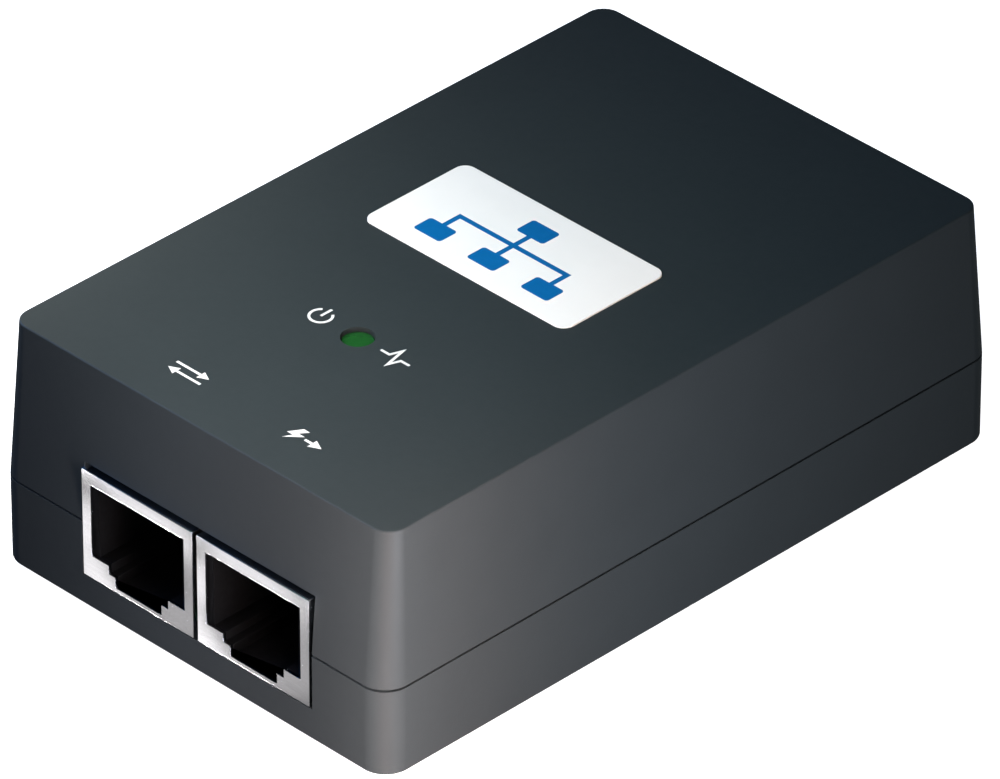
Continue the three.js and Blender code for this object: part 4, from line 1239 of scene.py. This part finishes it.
def make_inductor():
    """A ferrite drum wound with close turns of wire."""
    x, y, low, high = middle_of("output_inductor")
    flange, tall = (high.x - low.x) / 2, high.z - low.z
    thick, edge, core, wire, coil = mm(1.4, 0.3, 2.6, 0.3, 3.7)
    profile = [(flange - edge, 0), (flange, edge), (flange, thick), (core, thick)]
    profile += [(core, tall - thick), (flange, tall - thick), (flange, tall - edge), (flange - edge, tall)]
    drum = smooth_sides(lathe("output_inductor_fine", profile, x, y, low.z, 56), 40)
    put(drum, FERRITE_LOOK, "ferrite", "output_inductor")
    turns = int((tall - 2 * thick) / (2 * wire))
    per_turn = 28
    path = []
    for i in range(turns * per_turn - per_turn // 2):
        angle = math.tau * i / per_turn
        z = low.z + thick + wire + 2 * wire * i / per_turn
        path.append((x + coil * math.cos(angle), y + coil * math.sin(angle), z))
    winding = tube("output_inductor_winding", path, wire, 6)
    put(smooth_sides(winding, 70), COPPER_LOOK, "copper_wire")


def make_lamp():
    """The status lamp: a domed lens on a flange, on long leads, under the light pipe."""
    x, y, low, high = middle_of("status_led")
    flange, lens, flange_top, lens_foot, dome = mm(1.9, 1.5, 0.9, 0.95, 3.6)
    base = high.z - dome - lens
    profile = [(flange, 0), (flange, flange_top), (lens, lens_foot)]
    profile += [(lens * math.cos(angle), dome + lens * math.sin(angle)) for angle in quarter_turn(8)]
    lamp = smooth_sides(lathe("status_led_fine", profile, x, y, base), 45)
    put(lamp, LENS_LOOK, "green_lens", "status_led")
    apart, sunk, wire = mm(1.27, 0.3, 0.25)
    put_leads("status_led_leads", [(x - apart, y), (x + apart, y)], low.z, base + sunk, wire)


bevelled_node("circuit_board", BOARD_LOOK, 0.08 * MM)
bevelled_node("insulation_sheet", FILM_LOOK, 0.03 * MM)
make_fuse()
make_choke()
make_film_capacitor()
make_rectifier()
for can in ("bulk_capacitor", "output_capacitor_1", "output_capacitor_2"):
    make_electrolytic(can)
make_heatsink()
make_transistor()
make_dual_inline("controller_chip", 4)
make_dual_inline("optocoupler", 2)
make_transformer()
make_disc_capacitor()
make_diode()
make_inductor()
make_lamp()

# ---- Camera, floor, world and lights ----

CAMERA_AZIMUTH = math.radians(45.22)
CAMERA_ELEVATION = math.radians(33.96)
CAMERA_DISTANCE = 1.1784
CAMERA_LENS = 419.1
AIM = Vector((0, 0, BOTTOM + 12.634 * MM))


def make_camera():
    data = bpy.data.cameras.new("camera")
    data.lens = CAMERA_LENS
    data.sensor_width = 36
    data.clip_start = 0.01
    data.clip_end = 20
    camera = bpy.data.objects.new("camera", data)
    bpy.context.scene.collection.objects.link(camera)
    back = Vector((
        math.sin(CAMERA_AZIMUTH) * math.cos(CAMERA_ELEVATION),
        -math.cos(CAMERA_AZIMUTH) * math.cos(CAMERA_ELEVATION),
        math.sin(CAMERA_ELEVATION),
    ))
    camera.location = AIM + back * CAMERA_DISTANCE
    camera.rotation_mode = "QUATERNION"
    camera.rotation_quaternion = (-back).to_track_quat("-Z", "Y")
    bpy.context.scene.camera = camera


def make_floor():
    half = 3.0
    bm = bmesh.new()
    corners = [bm.verts.new((x * half, y * half, 0)) for x, y in ((-1, -1), (1, -1), (1, 1), (-1, 1))]
    bm.faces.new(corners)
    floor = from_bmesh("floor", bm)
    look = Look("floor_white", (0.85, 0.85, 0.85), 0.9, specular=0.1)
    look.shader.inputs["Emission Color"].default_value = (1, 1, 1, 1)
    look.shader.inputs["Emission Strength"].default_value = 0.985
    clear = look.node("ShaderNodeBsdfTransparent")
    side = look.node("ShaderNodeNewGeometry")
    chooser = look.node("ShaderNodeMixShader")
    look.link(side.outputs["Backfacing"], chooser.inputs["Fac"])
    look.link(look.shader.outputs["BSDF"], chooser.inputs[1])
    look.link(clear.outputs["BSDF"], chooser.inputs[2])
    look.link(chooser.outputs["Shader"], look.tree.nodes["Material Output"].inputs["Surface"])
    floor.data.materials.append(look.material)
    floor.visible_diffuse = False
    floor.visible_glossy = False
    floor.visible_shadow = False


def make_world(ambient):
    world = bpy.data.worlds.new("studio")
    bpy.context.scene.world = world
    world.use_nodes = True
    tree = world.node_tree
    background = tree.nodes["Background"]
    background.inputs["Color"].default_value = (*ambient, 1)
    seen = tree.nodes.new("ShaderNodeBackground")
    seen.inputs["Color"].default_value = (1, 1, 1, 1)
    path = tree.nodes.new("ShaderNodeLightPath")
    mixer = tree.nodes.new("ShaderNodeMixShader")
    tree.links.new(path.outputs["Is Camera Ray"], mixer.inputs["Fac"])
    tree.links.new(background.outputs["Background"], mixer.inputs[1])
    tree.links.new(seen.outputs["Background"], mixer.inputs[2])
    tree.links.new(mixer.outputs["Shader"], tree.nodes["World Output"].inputs["Surface"])


def area_light(name, place, target, size, power, color=(1, 1, 1)):
    """A rectangular soft light at a place, facing a target."""
    data = bpy.data.lights.new(name, "AREA")
    data.shape = "RECTANGLE"
    data.size, data.size_y = size
    data.energy = power
    data.color = color
    light = bpy.data.objects.new(name, data)
    bpy.context.scene.collection.objects.link(light)
    light.location = place
    direction = Vector(target) - Vector(place)
    light.rotation_mode = "QUATERNION"
    light.rotation_quaternion = direction.to_track_quat("-Z", "Y")
    light.visible_camera = False
    return light


def light_only(light, name, pieces):
    """Limits a light to some pieces."""
    receivers = bpy.data.collections.new(name)
    for piece in pieces:
        receivers.objects.link(bpy.data.objects[piece])
    light.light_linking.receiver_collection = receivers


def matte_light(*spec):
    """A soft light that is not mirrored by glossy surfaces."""
    light = area_light(*spec)
    light.visible_glossy = False
    return light


def make_lights():
    """Soft lights close round the near corner, so that the shade falls off along each face."""
    middle_z = 14 * MM
    middle, near_corner, front = (0, 0, middle_z), mm(20, -35, 14), mm(0, -43.5, 14)
    area_light("right_soft", mm(108, -50, 25), mm(28, -25, 14), mm(40, 40), 0.13, (0.85, 0.89, 1))
    area_light("over_soft", mm(0, -20, 100), mm(0, -10, 28), mm(50, 50), 0.013, (0.19, 0.99, 1))
    area_light("far_left", mm(-500, -200, 300), middle, mm(300, 300), 1.4, (0, 0.29, 1))
    matte_light("corner_strip", mm(41, -56.5, 14), near_corner, mm(8, 160), 0.105, (1, 0.8, 0.75))
    matte_light("front_strip", mm(0, -61.5, 14), front, mm(10, 180), 0.014, (0.97, 0.91, 1))
    matte_light("right_strip", mm(46, -35, 14), mm(28, -35, 14), mm(10, 180), 0.014, (1, 0.35, 0.06))
    matte_light("left_low", mm(-60, -30, 60), mm(-30, -18, 28), mm(30, 30), 0.056, (1, 0.9, 0.81))
    matte_light("front_low", mm(0, -45, 60), mm(0, -27, 28), mm(30, 30), 0.013, (1, 0.99, 0.94))
    # Fills for the left, the back and the underside, kept level with the case so that its top gets none.
    matte_light("left_fill", mm(-180, 0, 14), middle, mm(80, 24), 0.22)
    matte_light("back_fill", mm(0, 190, 14), middle, mm(50, 24), 0.26)
    matte_light("under_fill", mm(0, 0, -100), (0, 0, 0), mm(50, 80), 0.084)
    # Lights for a few pieces only: the label, the mains inlet, and the shields from the front left.
    label_middle = (LABEL_X, LABEL_Y, TOP)
    label_fill = matte_light("label_fill", mm(45, 25, 70), label_middle, mm(20, 20), 0.012, (1, 0.72, 0.5))
    light_only(label_fill, "label_pieces", ["label_plate_fine"])
    rear = area_light("rear_soft", mm(-120, 300, 120), (0, HALF_Y, 15 * MM), mm(160, 160), 0.9)
    light_only(rear, "inlet_pieces", ["inlet_housing_fine"] + [f"{pin}_fine" for pin in PINS])
    room = area_light("shield_room", mm(300, -700, -40), front, mm(900, 800), 1.0)
    room.visible_diffuse = False
    light_only(room, "shield_pieces", SHIELD_PIECES)


SHIELD_PIECES = [f"{prefix}_shield_fine" for prefix in JACKS]
# Cards that only the shields mirror, by power: degrees across and up from what the camera sees in them.
DIM, SOFT, BRIGHT, GRAZING = 0.004, 0.0125, 0.115, 1.1
MIRROR_CARDS = {
    DIM: [(-6, -6), (-6, 0), (0, -6)],
    SOFT: [(-6, 6), (0, 6), (6, 0), (12, -6), (12, 0)],
    BRIGHT: [(-18, 6), (6, 12)],
    GRAZING: [(18, -18)],
}


def make_mirror_cards():
    """Small far cards round the direction in which the camera sees the room in the jacks' faces."""
    first, last = JACKS["lan"][0], JACKS["poe"][1]
    middle = Vector(((first.x + last.x) / 2, first.y, (first.z + last.z) / 2))
    sight = (AIM - bpy.context.scene.camera.location).normalized()
    mirrored = sight.reflect(Vector((0, -1, 0)))
    across = mirrored.cross(Vector((0, 0, 1))).normalized()
    up = across.cross(mirrored)
    away, side = mm(600, 63)
    cards = [(power, *angles) for power, places in MIRROR_CARDS.items() for angles in places]
    for number, (power, turn, rise) in enumerate(cards):
        direction = mirrored + across * math.tan(math.radians(turn)) + up * math.tan(math.radians(rise))
        place = middle + direction.normalized() * away
        card = area_light(f"card_{number}", place, middle, (side, side), power)
        card.visible_diffuse = False
        light_only(card, f"mirror_{number}", SHIELD_PIECES)


bpy.context.scene.view_settings.view_transform = "Standard"
make_camera()
make_floor()
make_world((0.04, 0.04, 0.04))
make_lights()
make_mirror_cards()
